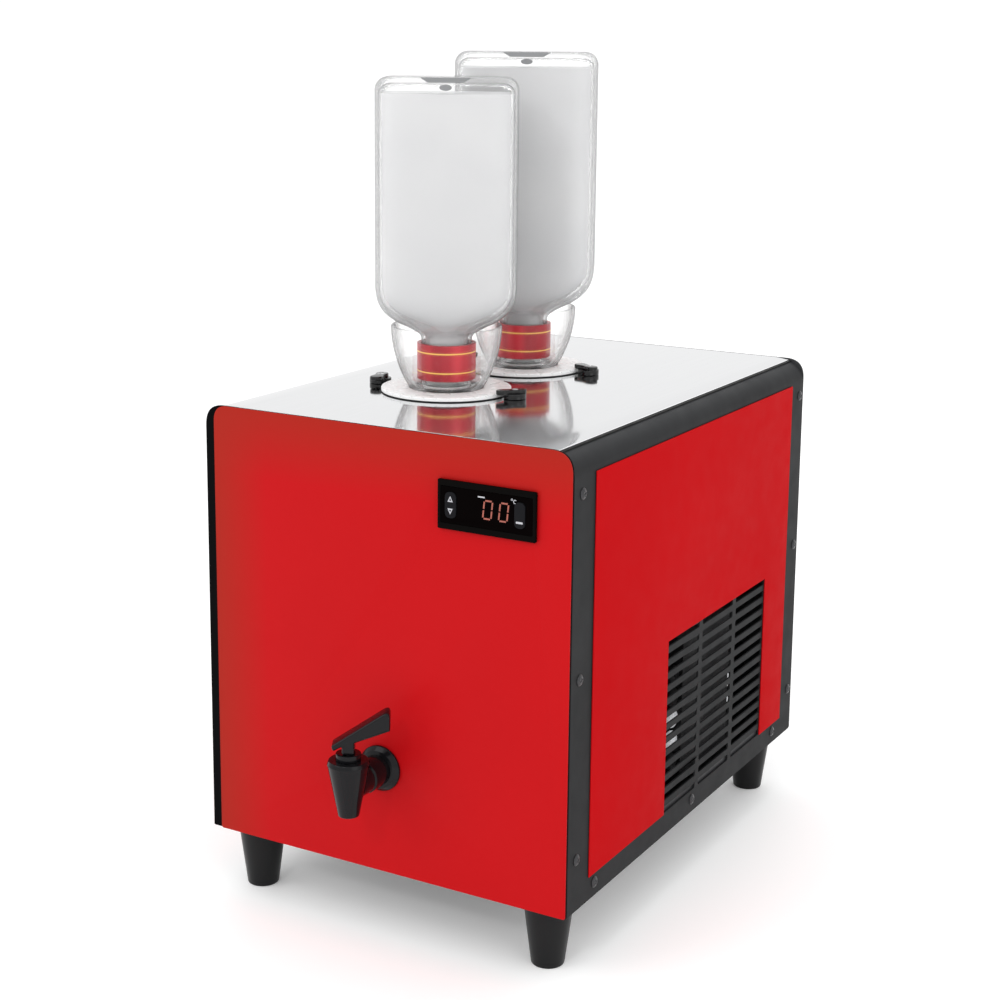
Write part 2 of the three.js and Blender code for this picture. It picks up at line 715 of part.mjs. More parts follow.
function cups() {
  ["front", "rear"].forEach((end, i) => {
    const cup = group(cupX, cupFrontY + i * cupSpacing, caseHeight);
    place(`${end}_cup_collar`, turned(collarOutline(), 28), "white_plastic", cup);
    place(`${end}_cup_bowl`, turned(bowlOutline(), 22), "clear_plastic", cup);
    place(`${end}_feed_spike`, turned(spikeOutline(), 12), "white_plastic", cup);
    const bottle = group(0, 0, 0, bottleTurn, cup);
    place(`${end}_bottle_glass`, bottleGeometry(bottles[end]), "bottle_glass", bottle);
    place(`${end}_bottle_drink`, drinkGeometry(bottles[end]), "drink", bottle);
    const sleeve = [
      [neckRadius + gap, labelBottom],
      [labelRadius, labelBottom],
      [labelRadius, labelBottom + labelHeight],
      [neckRadius + gap, labelBottom + labelHeight],
    ];
    place(`${end}_neck_label`, turned(sleeve, 20), "label_red", bottle);
    for (const [side, sign] of [["right", 1], ["left", -1]]) {
      const name = `${end}_${side}`;
      const towardsCup = sign > 0 ? 180 : 0;
      const pivot = group(sign * clampPivotRadius, 0, 0, towardsCup + clampTurns[name], cup);
      place(`${name}_clamp`, clampGeometry(), "black_plastic", pivot);
      place(`${name}_clamp_screw`, clampScrewGeometry(), "stainless", pivot);
    }
  });
}

// ---- Temperature controller ----
const keyOval = (width, height, x) => softRectangle(width, height, width / 2 - 0.05, x, 0);

function controller() {
  const panel = group(controlX, 0, controlZ);
  const bezel = acrossDepth(softRectangle(bezelWidth, bezelHeight, 1.5), -bezelDepth - gap, -gap, 3);
  const body = box(
    [-cutoutWidth / 2 + gap, -1, -cutoutHeight / 2 + gap],
    [cutoutWidth / 2 - gap, controlBodyDepth, cutoutHeight / 2 - gap],
  );
  const face = -bezelDepth - gap;
  const windowBack = face + 0.4 + windowThickness + gap;
  const recess = box(
    [-windowWidth / 2 - gap, face - 1, -windowHeight / 2 - gap],
    [windowWidth / 2 + gap, windowBack, windowHeight / 2 + gap],
  );
  const keys = [[rockerX, rockerWidth, rockerHeight], [setKeyX, setKeyWidth, setKeyHeight]];
  const keyFront = face - 0.2;
  const pocketBack = keyFront + keyDepth + keyTravel + 0.4;
  const pockets = keys.map(([x, width, height]) =>
    acrossDepth(keyOval(width + 2 * gap, height + 2 * gap, x), face - 1, pocketBack, 3));
  place("controller_case", cut(join(bezel, body), recess, ...pockets), "black_plastic", panel);
  const glass = box(
    [-windowWidth / 2, windowBack - gap - windowThickness, -windowHeight / 2],
    [windowWidth / 2, windowBack - gap, windowHeight / 2],
  );
  place("controller_window", cut(glass, ...pockets), "display", panel);
  const names = ["rocker_key", "set_key"];
  keys.forEach(([x, width, height], i) => {
    const key = acrossDepth(keyOval(width, height, 0), keyFront, keyFront + keyDepth, 3);
    place(names[i], key, "key_grey", panel).position.x = x;
  });
}

// ---- Cold tank ----
const tankY = cupFrontY + cupSpacing / 2;
const foamTop = rollTop - sheetThickness - foamTopClearance;
const tankTop = foamTop - foamLidThickness - gap;
const tankBottom = tankTop - tankHeight;
const tankTopDepth = caseHeight - tankTop;
const coilSpace = 2 * coilTubeRadius + coilClearance + 2 * gap;

const tankOutline = (grow) =>
  softRectangle(tankWidth + 2 * grow, tankLength + 2 * grow, tankRadius + grow);

function upright(shape, low, high, curveSegments = 5) {
  const options = { depth: high - low, bevelEnabled: false, curveSegments };
  return new THREE.ExtrudeGeometry(shape, options).translate(0, 0, low);
}

const outletX = -cupX; // in the tank's frame, so that the outlet is in line with the tap
const outletY = -tankLength / 2 + 42;

function coldTank() {
  const tank = group(cupX, tankY, 0);
  const shell = upright(tankOutline(0), tankBottom, tankTop, 3);
  const hollow = upright(tankOutline(-tankWall), tankBottom + tankWall, tankTop - tankWall, 3);
  const ports = [-1, 1].map((sign) =>
    rod(spikeRadius + gap, tankTop - 5, tankTop + 1, 12).translate(0, (sign * cupSpacing) / 2, 0));
  const drain = rod(outletRadius - 1.5, tankBottom - 1, tankBottom + 5, 12).translate(outletX, outletY, 0);
  place("reservoir_tank", cut(shell, hollow, ...ports, drain), "stainless", tank);

  const foamBottom = tankBottom - foamWall;
  const outside = coilSpace + foamWall;
  const jacket = upright(tankOutline(outside), foamBottom, tankTop, 3);
  const well = upright(tankOutline(coilSpace), tankBottom - gap, tankTop + 1, 3);
  const drainWay = rod(outletRadius + 4 * gap, foamBottom - 1, tankBottom + 1, 12).translate(outletX, outletY, 0);
  place("foam_jacket", cut(jacket, well, drainWay), "foam", tank);
  const lid = upright(tankOutline(outside), tankTop + gap, foamTop, 3);
  const lidPorts = [-1, 1].map((sign) =>
    rod(spikeRadius + gap, tankTop, foamTop + 1, 12).translate(0, (sign * cupSpacing) / 2, 0));
  place("foam_lid", cut(lid, ...lidPorts), "foam", tank);
  evaporatorCoil(tank);
  outletTube();
}

function evaporatorCoil(tank) {
  const perTurn = 22;
  const loop = tankOutline(coilTubeRadius + coilClearance).getSpacedPoints(perTurn).slice(0, perTurn);
  const rise = (tankHeight - 30) / coilTurns;
  const points = [];
  for (let i = 0; i <= coilTurns * perTurn; i++) {
    const { x, y } = loop[i % perTurn];
    points.push(new THREE.Vector3(x, y, tankBottom + 15 + (rise * i) / perTurn));
  }
  const path = new THREE.CatmullRomCurve3(points);
  place("evaporator_coil", tube(path, coilTubeRadius, coilTurns * perTurn, 5), "copper", tank);
}

function tube(path, radius, steps, sides) {
  const angle = (i) => (2 * Math.PI * i) / sides;
  const corner = (i) => [radius * Math.cos(angle(i)), radius * Math.sin(angle(i))];
  const section = outlineOf(Array.from({ length: sides }, (_, i) => corner(i)));
  return new THREE.ExtrudeGeometry(section, { steps, extrudePath: path, bevelEnabled: false });
}

function outletTube() {
  const x = cupX + outletX;
  const y = tankY + outletY;
  const path = new THREE.CatmullRomCurve3([
    new THREE.Vector3(x, y, tankBottom - gap),
    new THREE.Vector3(x, y, tankBottom - foamWall - 6),
    new THREE.Vector3(x, y - 8, tapHeight + 10),
    new THREE.Vector3(x, y - 22, tapHeight),
    new THREE.Vector3(x, shankLength + gap, tapHeight),
  ]);
  place("outlet_tube", tube(path, outletRadius, 14, 8), "white_plastic");
}

// ---- Cooling unit ----
function compressor() {
  const unit = group(compressorX, compressorY, sheetThickness + gap);
  const r = compressorRadius;
  const h = compressorHeight;
  const pot = turned([
    [0, 6], [r * 0.8, 6], [r, 20], [r, h * 0.45], [r + 2, h * 0.45], [r + 2, h * 0.5],
    [r, h * 0.5], [r, h * 0.78], [r * 0.75, h * 0.95], [0, h],
  ], 24);
  const plate = box([-r - 8, -r * 0.6, 0], [r + 8, r * 0.6, 8]);
  place("compressor", join(pot, plate), "compressor_paint", unit);
  const drier = turned([[0, 0], [3, 0], [9, 10], [9, 70], [3, 80], [0, 80]], 12);
  place("filter_drier", alongY(drier), "copper").position.set(drierX, condenserFront + 40, 60);
}

function condenser() {
  const low = [condenserX, condenserFront, condenserBottom];
  const high = [
    condenserX + condenserThickness, condenserFront + condenserLength, condenserBottom + condenserHeight,
  ];
  const bends = [];
  const middleX = condenserX + condenserThickness / 2;
  const count = Math.floor(condenserHeight / bendPitch) - 1;
  for (const [y, sign] of [[low[1], -1], [high[1], 1]])
    for (let i = 0; i < count; i++) {
      const z = condenserBottom + bendPitch * (i + 1);
      const bend = new THREE.TorusGeometry(bendPitch / 4, bendTubeRadius, 5, 6).rotateY(Math.PI / 2);
      bends.push(bend.translate(middleX, y + sign * 1.5, z));
    }
  place("condenser", join(box(low, high), ...bends), "aluminium");
}

const fanY = condenserFront + condenserLength / 2;
const fanZ = condenserBottom + condenserHeight / 2;

function fan() {
  const frontX = condenserX - gap;
  const shroud = box(
    [frontX - 4, fanY - fanRadius - 10, sheetThickness + gap],
    [frontX, fanY + fanRadius + 10, fanZ + fanRadius + 10],
  );
  const ring = alongX(rod(fanRadius + 5, frontX - 4 - fanDepth, frontX - 2, 28)).translate(0, fanY, fanZ);
  const opening = alongX(rod(fanRadius + 3, frontX - 60, frontX + 1, 28)).translate(0, fanY, fanZ);
  place("fan_shroud", cut(join(shroud, ring), opening), "black_plastic");

  const hubX = frontX - 3 - fanDepth;
  const turning = group(0, fanY, fanZ);
  const hub = alongX(rod(fanHubRadius, hubX, hubX + fanDepth, 16));
  const chord = (fanDepth - 3) / Math.sin(radians(bladePitch));
  const blades = Array.from({ length: bladeCount }, (_, i) => {
    const blade = new THREE.BoxGeometry(2, chord, fanRadius - fanHubRadius + 3);
    blade.rotateZ(radians(bladePitch)).translate(hubX + fanDepth / 2, 0, (fanRadius + fanHubRadius) / 2 - 1.5);
    return blade.rotateX((2 * Math.PI * i) / bladeCount);
  });
  place("fan_blades", join(hub, ...blades), "black_plastic", turning);

  const motorEnd = hubX - gap;
  const motor = alongX(rod(motorRadius, motorEnd - motorLength, motorEnd, 16)).translate(0, fanY, fanZ);
  const stand = box(
    [motorEnd - motorLength + 8, fanY - 14, sheetThickness + gap],
    [motorEnd - 8, fanY + 14, fanZ],
  );
  place("fan_motor", join(motor, stand), "compressor_paint");
}

// ---- Mains inlet and switch on the rear ----
function powerInlet() {
  const inlet = group(inletX, caseDepth, inletZ);
  const plate = box([-inletWidth / 2, gap, -inletHeight / 2], [inletWidth / 2, 3, inletHeight / 2]);
  const body = box(
    [-inletBodyWidth / 2, -26, -inletBodyHeight / 2],
    [inletBodyWidth / 2, 1, inletBodyHeight / 2],
  );
  const socket = box(
    [-inletBodyWidth / 2 + 1.5, -15, -inletBodyHeight / 2 + 1.5],
    [inletBodyWidth / 2 - 1.5, 4, inletBodyHeight / 2 - 1.5],
  );
  place("power_inlet", cut(join(plate, body), socket), "black_plastic", inlet);
}

function powerSwitch() {
  const seat = group(switchX, caseDepth, inletZ);
  const halfX = switchWidth / 2;
  const halfZ = switchHeight / 2;
  const rim = box([-halfX - 2, gap, -halfZ - 2], [halfX + 2, 2, halfZ + 2]);
  const body = box([-halfX, -18, -halfZ], [halfX, 1, halfZ]);
  const well = box([-halfX + 1.5, -4, -halfZ + 1.5], [halfX - 1.5, 3, halfZ - 1.5]);
  place("switch_case", cut(join(rim, body), well), "black_plastic", seat);
  // Rocker: its two faces meet in a shallow V, and it turns about a line along X.
  const reach = halfX - 1.5 - gap;
  const height = halfZ - 1.5 - 2 * gap;
  const profile = outlineOf([[-0.2, -height], [3.4, -height], [2.2, 0], [3.4, height], [-0.2, height]]);
  place("switch_rocker", acrossWidth(profile, -reach, reach), "key_grey", seat)
    .rotation.x = radians(switchThrow);
}

// ---- Assembly ----
baseTray();
frontPanel();
frontFascia();
sides();
rearPanel();
topPanel();
feet();
tap();
cups();
controller();
coldTank();
compressor();
condenser();
fan();
powerInlet();
powerSwitch();

machine.position.z = footHeight;
machine.updateMatrixWorld(true);
const bounds = new THREE.Box3().setFromObject(machine);
const middle = bounds.getCenter(new THREE.Vector3());
machine.position.x -= middle.x;
machine.position.y -= middle.y;

const dispenser = new THREE.Group();
dispenser.add(machine);

export default dispenser;
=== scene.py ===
"""The looks of a countertop drink dispenser fed by two inverted bottles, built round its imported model.

Blender works in metres. The sizes below are millimetres in the case's own frame:
x from the middle, y from the fascia's face backwards, z from the case's underside.
"""

import math

import bmesh
import bpy
from mathutils import Matrix, Vector


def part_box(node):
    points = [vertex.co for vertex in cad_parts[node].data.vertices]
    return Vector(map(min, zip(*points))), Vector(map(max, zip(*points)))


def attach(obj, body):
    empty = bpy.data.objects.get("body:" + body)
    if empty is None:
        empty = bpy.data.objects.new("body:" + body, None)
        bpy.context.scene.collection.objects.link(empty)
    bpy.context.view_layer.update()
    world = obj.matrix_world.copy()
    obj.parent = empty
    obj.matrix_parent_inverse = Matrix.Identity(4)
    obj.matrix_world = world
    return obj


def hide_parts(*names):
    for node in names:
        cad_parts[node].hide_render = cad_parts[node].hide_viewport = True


MM = 0.001
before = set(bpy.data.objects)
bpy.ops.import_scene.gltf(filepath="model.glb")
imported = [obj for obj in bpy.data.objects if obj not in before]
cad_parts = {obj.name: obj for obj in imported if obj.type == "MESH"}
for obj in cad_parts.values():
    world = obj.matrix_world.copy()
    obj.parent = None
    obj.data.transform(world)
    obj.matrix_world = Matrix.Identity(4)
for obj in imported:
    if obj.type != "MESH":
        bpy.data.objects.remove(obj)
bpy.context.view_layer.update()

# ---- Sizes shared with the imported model, in millimetres ----
FASCIA_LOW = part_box("front_fascia")[0]
FRONT_Y = FASCIA_LOW.y
UNDERSIDE_Z = FASCIA_LOW.z
GAP = 0.3
CASE_WIDTH = 306
CASE_DEPTH = 426
CASE_HEIGHT = 331
CORNER = 16
SHEET = 1.5
FASCIA = 1.0
FLANGE_DEPTH = 24
FASCIA_INSET = 8.3
SKIN = 0.8
SKIN_FRONT = 34
SKIN_REAR = 28
SKIN_BOTTOM = 18
SKIN_TOP = 19
VENT_FRONT = 159
VENT_LENGTH = 192
VENT_TOP = 156
VENT_COLUMNS = 3
VENT_ROWS = 14
SLOT_HEIGHT = 5.2
SLOT_WEB = 5
SLOT_POST = 6.5
SLOT_ROUND = 1.7
REAR_SLOT_LENGTH = 62
REAR_SLOT_ROWS = 8
REAR_SLOT_BOTTOM = 190
CUP_X = -30.5
CUP_Y = {"front": 141, "rear": 262}
BOTTLE_TURN = 29
# Each bottle's half width, half thickness, height of its base, height where its shoulder ends, and fill.
BOTTLES = {"front": (53.5, 37.5, 238, 82, 226), "rear": (57, 39.5, 256, 87, 244)}
CLAMP_PIVOT = 60.5
CLAMP_TURNS = {"front_right": 51, "front_left": -75, "rear_right": -24, "rear_left": 24}
TAP_X = 1.5
TAP_HEIGHT = 79.8
TAP_REACH = 41
SPOUT_TOP = 20.5
BONNET_HEIGHT = 5
LEVER_TURN = 30
CONTROL_X = 89
CONTROL_Z = 283.7
INLET_X = 95
INLET_Z = 60
SWITCH_X = 45
ROCKER_KEY_X = -28
SET_KEY_X = 26.2

HALF_WIDTH = CASE_WIDTH / 2
PLATE_START = FASCIA + GAP
INSIDE_FRONT = PLATE_START + SHEET + GAP
INSIDE_REAR = CASE_DEPTH - SHEET - GAP
ROLL_TOP = CASE_HEIGHT - 2 - GAP


def at(x, y, z):
    """A point of the case's frame in millimetres as a place in metres."""
    return Vector((x * MM, FRONT_Y + y * MM, UNDERSIDE_Z + z * MM))


# ---- Camera ----
CAMERA_PLACE = (696.2, -1050.6, 598.0)


def make_camera():
    azimuth, elevation, roll = (math.radians(a) for a in (29.68, 11.12, 0.586))
    back = Vector((
        math.sin(azimuth) * math.cos(elevation),
        -math.cos(azimuth) * math.cos(elevation),
        math.sin(elevation),
    ))
    level = Vector((math.cos(azimuth), math.sin(azimuth), 0))
    upright = back.cross(level)
    right = math.cos(roll) * level + math.sin(roll) * upright
    up = -math.sin(roll) * level + math.cos(roll) * upright
    data = bpy.data.cameras.new("camera")
    data.sensor_width = 36
    data.lens = 66.50
    data.shift_y = -0.10
    camera = bpy.data.objects.new("camera", data)
    bpy.context.scene.collection.objects.link(camera)
    place = at(*CAMERA_PLACE)
    camera.matrix_world = Matrix((
        (right.x, up.x, back.x, place.x),
        (right.y, up.y, back.y, place.y),
        (right.z, up.z, back.z, place.z),
        (0, 0, 0, 1),
    ))
    bpy.context.scene.camera = camera


# ---- Materials ----
class Look:
    """A node material with one Principled shader, and short ways to feed its sockets."""

    def __init__(self, name):
        self.material = bpy.data.materials.new(name)
        self.material.use_nodes = True
        self.nodes = self.material.node_tree.nodes
        self.links = self.material.node_tree.links
        self.shader = self.nodes["Principled BSDF"]
        self.place = self.nodes.new("ShaderNodeTexCoord").outputs["Object"]

    def set(self, **values):
        for name, value in values.items():
            self.shader.inputs[name.replace("_", " ")].default_value = value
        return self

    def feed(self, output, socket):
        self.links.new(output, self.shader.inputs[socket])

    def noise(self, scale, detail=3.0, stretch=None):
        source = self.place
        if stretch:
            mapping = self.nodes.new("ShaderNodeMapping")
            mapping.inputs["Scale"].default_value = stretch
            self.links.new(source, mapping.inputs["Vector"])
            source = mapping.outputs["Vector"]
        texture = self.nodes.new("ShaderNodeTexNoise")
        texture.inputs["Scale"].default_value = scale
        texture.inputs["Detail"].default_value = detail
        self.links.new(source, texture.inputs["Vector"])
        return texture.outputs["Fac"]

    def axis(self, name, low, high):
        """0 to 1 as the named coordinate runs from low to high, in metres."""
        split = self.nodes.new("ShaderNodeSeparateXYZ")
        self.links.new(self.place, split.inputs[0])
        return self.range(split.outputs[name], low, high, 0, 1)

    def range(self, value, low, high, start, end):
        made = self.nodes.new("ShaderNodeMapRange")
        for i, number in enumerate((low, high, start, end), 1):
            made.inputs[i].default_value = number
        self.links.new(value, made.inputs[0])
        return made.outputs[0]

    def ramp(self, value, *stops):
        made = self.nodes.new("ShaderNodeValToRGB")
        elements = made.color_ramp.elements
        while len(elements) < len(stops):
            elements.new(0.5)
        for element, (position, color) in zip(elements, stops):
            element.position = position
            element.color = (*color, 1)
        self.links.new(value, made.inputs[0])
        return made.outputs["Color"]

    def mix(self, share, first, second, blend="MIX"):
        made = self.nodes.new("ShaderNodeMix")
        made.data_type = "RGBA"
        made.blend_type = blend
        for value, socket in ((share, 0), (first, 6), (second, 7)):
            if hasattr(value, "links"):
                self.links.new(value, made.inputs[socket])
            else:
                made.inputs[socket].default_value = value
        return made.outputs[2]

    def bump(self, height, strength, distance):
        made = self.nodes.new("ShaderNodeBump")
        made.inputs["Strength"].default_value = strength
        made.inputs["Distance"].default_value = distance
        self.links.new(height, made.inputs["Height"])
        self.feed(made.outputs["Normal"], "Normal")
        return self


def shade(color, factor):
    return tuple(min(1.0, c * factor) for c in color)


def painted(name, color, spread, roughness, grain, grain_strength, specular=0.5):
    """Paint or moulded plastic: a slow drift of tone, uneven gloss and a fine surface grain."""
    look = Look(name)
    drift = look.noise(9, 2)
    look.feed(look.ramp(drift, (0.3, shade(color, 1 - spread)), (0.7, shade(color, 1 + spread))), "Base Color")
    look.feed(look.range(look.noise(60, 4), 0.3, 0.7, roughness * 0.88, roughness * 1.12), "Roughness")
    look.bump(look.noise(grain, 3), grain_strength, 0.0002)
    look.set(Specular_IOR_Level=specular)
    return look


RED = (0.455, 0.0045, 0.0068)
# The darker, brownish red blended in at the fascia's top and left edges is a painted sheen and shade.
RED_PAINTED_SHEEN = (0.330, 0.0170, 0.0095)


def fascia_red():
    """The front's red, with a painted brownish sheen and shade that darkens it towards its top and left edges."""
    look = painted("fascia_red", RED, 0.02, 0.42, 1500, 0.03, 0.06)
    body = look.shader.inputs["Base Color"].links[0].from_socket
    edge = (*RED_PAINTED_SHEEN, 1)
    top = UNDERSIDE_Z + CASE_HEIGHT * MM
    upward = look.axis("Z", top - 0.050, top + 0.004)
    left = -HALF_WIDTH * MM
    leftward = look.axis("X", left + 0.055, left + 0.006)
    toned = look.mix(upward, look.mix(leftward, body, edge), edge)
    look.feed(toned, "Base Color")
    return look.material


def side_paint():
    """Black coated steel, its colour made lighter along the rolled upper edge as a painted highlight."""
    look = painted("side_paint", (0.024, 0.0245, 0.0255), 0.12, 0.46, 1800, 0.10, 0.03)
    body = look.shader.inputs["Base Color"].links[0].from_socket
    bend = UNDERSIDE_Z + (ROLL_TOP - CORNER) * MM
    painted_highlight_share = look.axis("Z", bend + 0.004, bend + 0.015)
    # The lighter colour mixed in above the bend is a painted highlight along the roll.
    look.feed(look.mix(painted_highlight_share, body, (0.034, 0.035, 0.037, 1)), "Base Color")
    return look.material


def metal(name, color, roughness, stretch, brush):
    """Bare metal, brushed along one axis."""
    look = Look(name)
    lines = look.noise(brush, 2, stretch)
    look.feed(look.ramp(lines, (0.25, shade(color, 0.985)), (0.75, shade(color, 1.015))), "Base Color")
    look.feed(look.range(lines, 0.2, 0.8, roughness * 0.8, roughness * 1.25), "Roughness")
    look.bump(lines, 0.02, 0.00003)
    look.set(Metallic=1.0)
    return look.material


def clear(name, color, ior, body, edge):
    """Thin clear glass or plastic: faint at its face, and greyer and denser where it is seen edge on, a painted shade
    that stands for the dark outlines refraction gives.
    """
    look = Look(name)
    slant = look.nodes.new("ShaderNodeLayerWeight").outputs["Facing"]
    # The colour greying towards the edge colour at a grazing view is painted shade.
    painted_edge_shade = look.ramp(slant, (0.25, color), (0.60, shade(color, 0.66)), (0.95, edge))
    ripple = look.ramp(look.noise(14, 2), (0.3, (0.985, 0.985, 0.985)), (0.7, (1, 1, 1)))
    look.feed(look.mix(1.0, painted_edge_shade, ripple, "MULTIPLY"), "Base Color")
    look.feed(look.range(look.noise(30, 2), 0.3, 0.7, 0.01, 0.03), "Roughness")
    look.feed(look.range(slant, 0.25, 0.85, body, 0.80), "Alpha")
    look.feed(look.range(slant, 0.35, 0.85, 1.0, 0.15), "Transmission Weight")
    look.bump(look.noise(22, 1), 0.05, 0.0008)
    look.set(IOR=ior, Specular_IOR_Level=0.25)
    return look.material


def drink_look():
    """Clear cold drink, drawn as a pale body because the glass round it takes some of its light."""
    look = Look("drink")
    look.feed(look.ramp(look.noise(11, 2), (0.3, (0.70, 0.702, 0.711)), (0.7, (0.75, 0.75, 0.755))), "Base Color")
    look.feed(look.range(look.noise(20, 2), 0.3, 0.7, 0.3, 0.45), "Roughness")
    look.set(Transmission_Weight=0.1, IOR=1.33, Specular_IOR_Level=0.2)
    return look.material


def label_look():
    """Red foil with painted light and shade in soft upright folds."""
    look = Look("neck_label")
    painted_fold_light = look.noise(70, 1, (1, 1, 0.02))
    # The darker and lighter reds along the folds are painted shade and painted highlight.
    look.feed(look.ramp(painted_fold_light, (0.35, (0.34, 0.012, 0.022)), (0.65, (0.58, 0.035, 0.050))), "Base Color")
    look.feed(look.range(look.noise(300, 3), 0.3, 0.7, 0.28, 0.4), "Roughness")
    look.bump(look.noise(900, 2), 0.05, 0.0002)
    return look.material


def lit(name, color, strength):
    """A surface with a light of its own: a display segment, and the condenser's metal bends, whose glow is a painted
    highlight that makes them stand out in the dark inside.
    """
    look = Look(name)
    glow = look.ramp(look.noise(900, 1), (0.3, shade(color, 0.7)), (0.7, color))
    look.feed(glow, "Base Color")
    look.feed(glow, "Emission Color")
    look.set(Emission_Strength=strength, Roughness=0.4)
    return look.material


def make_materials():
    plastic = {
        "steel_paint": ((0.036, 0.037, 0.039), 0.10, 0.42, 1800, 0.10, 0.12),
        "red_paint": (RED, 0.02, 0.55, 1500, 0.03, 0.01),
        # The front panel's black steel is drawn far darker than the sides' paint.
        "front_edge": ((0.0030, 0.0030, 0.0034), 0.10, 0.45, 1800, 0.06, 0.01),
        "black_moulding": ((0.0090, 0.0090, 0.0095), 0.12, 0.32, 1200, 0.05, 0.15),
        "clamp_black": ((0.0020, 0.0020, 0.0024), 0.10, 0.16, 900, 0.03, 0.45),
        "tap_gloss": ((0.0055, 0.0055, 0.0065), 0.12, 0.13, 700, 0.03, 0.18),
        "white_moulding": ((0.86, 0.86, 0.86), 0.02, 0.28, 900, 0.03, 0.4),
        "bezel": ((0.0034, 0.0030, 0.0028), 0.08, 0.34, 1500, 0.06, 0.01),
        "display_window": ((0.0014, 0.0007, 0.0007), 0.2, 0.12, 300, 0.01, 0.01),
        "key": ((0.0085, 0.0085, 0.0100), 0.08, 0.5, 1500, 0.08, 0.05),
        "legend": ((0.45, 0.45, 0.48), 0.03, 0.5, 1200, 0.02, 0.3),
        "dark_line_black": ((0.010, 0.010, 0.010), 0.1, 0.5, 900, 0.05, 0.1),
        "compressor_paint": ((0.006, 0.006, 0.007), 0.1, 0.35, 400, 0.1, 0.3),
        # Near-black for the condenser's aluminium fins and three rows of its bends is painted shade.
        "painted_shade_black": ((0.012, 0.012, 0.013), 0.15, 0.6, 2400, 0.4, 0.2),
        "foam": ((0.60, 0.52, 0.32), 0.12, 0.9, 260, 0.6, 0.3),
        "gold_line": ((0.90, 0.58, 0.13), 0.06, 0.3, 900, 0.03, 0.5),
        # The grey of the bottles' glass marks is painted shade.
        "glass_mark_shade": ((0.22, 0.225, 0.23), 0.05, 0.4, 900, 0.03, 0.3),
    }
    made = {name: painted(name, *values).material for name, values in plastic.items()}
    made["fascia_red"] = fascia_red()
    made["side_paint"] = side_paint()
    made["polished_steel"] = metal("polished_steel", (0.69, 0.695, 0.705), 0.08, (1, 0.02, 1), 600)
    made["screw_steel"] = metal("screw_steel", (0.55, 0.55, 0.56), 0.3, (1, 1, 1), 900)
    made["dark_screw"] = metal("dark_screw", (0.060, 0.060, 0.063), 0.30, (1, 1, 1), 900)
    made["copper"] = metal("copper", (0.72, 0.36, 0.22), 0.3, (1, 1, 1), 200)
    # The bends' glow is a painted highlight.
    made["painted_highlight_bend"] = lit("painted_highlight_bend", (0.80, 0.82, 0.85), 0.30)
    # The last colour passed to clear() is the painted shade at the edges of the glass and bowls.
    made["bottle_glass"] = clear("bottle_glass", (0.995, 0.998, 0.998), 1.20, 0.10, (0.14, 0.145, 0.15))
    made["cup_plastic"] = clear("cup_plastic", (0.99, 0.995, 0.995), 1.15, 0.06, (0.12, 0.125, 0.13))
    made["drink"] = drink_look()
    made["neck_label"] = label_look()
    made["digit"] = lit("digit", (0.30, 0.075, 0.050), 0.30)
    return made


# ---- Shapes ----
def mesh_object(name, vertices, faces):
    mesh = bpy.data.meshes.new(name)
    mesh.from_pydata(vertices, [], faces)
    mesh.update()
    made = bpy.data.objects.new(name, mesh)
    bpy.context.scene.collection.objects.link(made)
    return made


def tidy_normals(made):
    edit = bmesh.new()
    edit.from_mesh(made.data)
    bmesh.ops.remove_doubles(edit, verts=edit.verts, dist=1e-7)
    bmesh.ops.recalc_face_normals(edit, faces=edit.faces)
    edit.to_mesh(made.data)
    edit.free()
    return made


def smooth(made, angle=35):
    for polygon in made.data.polygons:
        polygon.use_smooth = True
    made.data.set_sharp_from_angle(angle=math.radians(angle))
    return made


def apply_modifiers(made):
    graph = bpy.context.evaluated_depsgraph_get()
    mesh = bpy.data.meshes.new_from_object(made.evaluated_get(graph))
    mesh.name = made.name
    made.modifiers.clear()
    made.data = mesh
    return made


def bevelled(made, width, segments=2, angle=40):
    """Rounds the mesh's sharp edges by a width in millimetres."""
    bevel = made.modifiers.new("edges", "BEVEL")
    bevel.width = width * MM
    bevel.segments = segments
    bevel.limit_method = "ANGLE"
    bevel.angle_limit = math.radians(angle)
    apply_modifiers(made)
    smooth(made, 50)
    made.modifiers.new("normals", "WEIGHTED_NORMAL").keep_sharp = True
    return apply_modifiers(made)


def arc(cx, cz, radius, start, end, steps):
    """Points on a circle, from one angle in degrees to another."""
    turns = [math.radians(start + (end - start) * i / steps) for i in range(steps + 1)]
    return [(cx + radius * math.cos(t), cz + radius * math.sin(t)) for t in turns]


def filleted(points, radii, steps=5, closed=True):
    """The outline with each corner rounded by its radius, in millimetres."""
    made = []
    count = len(points)
    for i, point in enumerate(points):
        radius = radii[i] if isinstance(radii, (list, tuple)) else radii
        ends = not closed and i in (0, count - 1)
        if ends or radius <= 0:
            made.append(tuple(point))
            continue
        corner = Vector(point)
        back = Vector(points[i - 1]) - corner
        ahead = Vector(points[(i + 1) % count]) - corner
        if back.length < 1e-6 or ahead.length < 1e-6 or back.angle(ahead) > math.pi - 0.01:
            made.append(tuple(point))
            continue
        half = back.angle(ahead) / 2
        reach = min(radius / math.tan(half), back.length * 0.49, ahead.length * 0.49)
        start = corner + back.normalized() * reach
        end = corner + ahead.normalized() * reach
        for step in range(steps + 1):
            t = step / steps
            made.append(tuple(start * (1 - t) ** 2 + corner * 2 * t * (1 - t) + end * t * t))
    return made


def rectangle(left, low, right, high, radii, steps=6):
    corners = [(left, low), (right, low), (right, high), (left, high)]
    return filleted(corners, radii, steps)


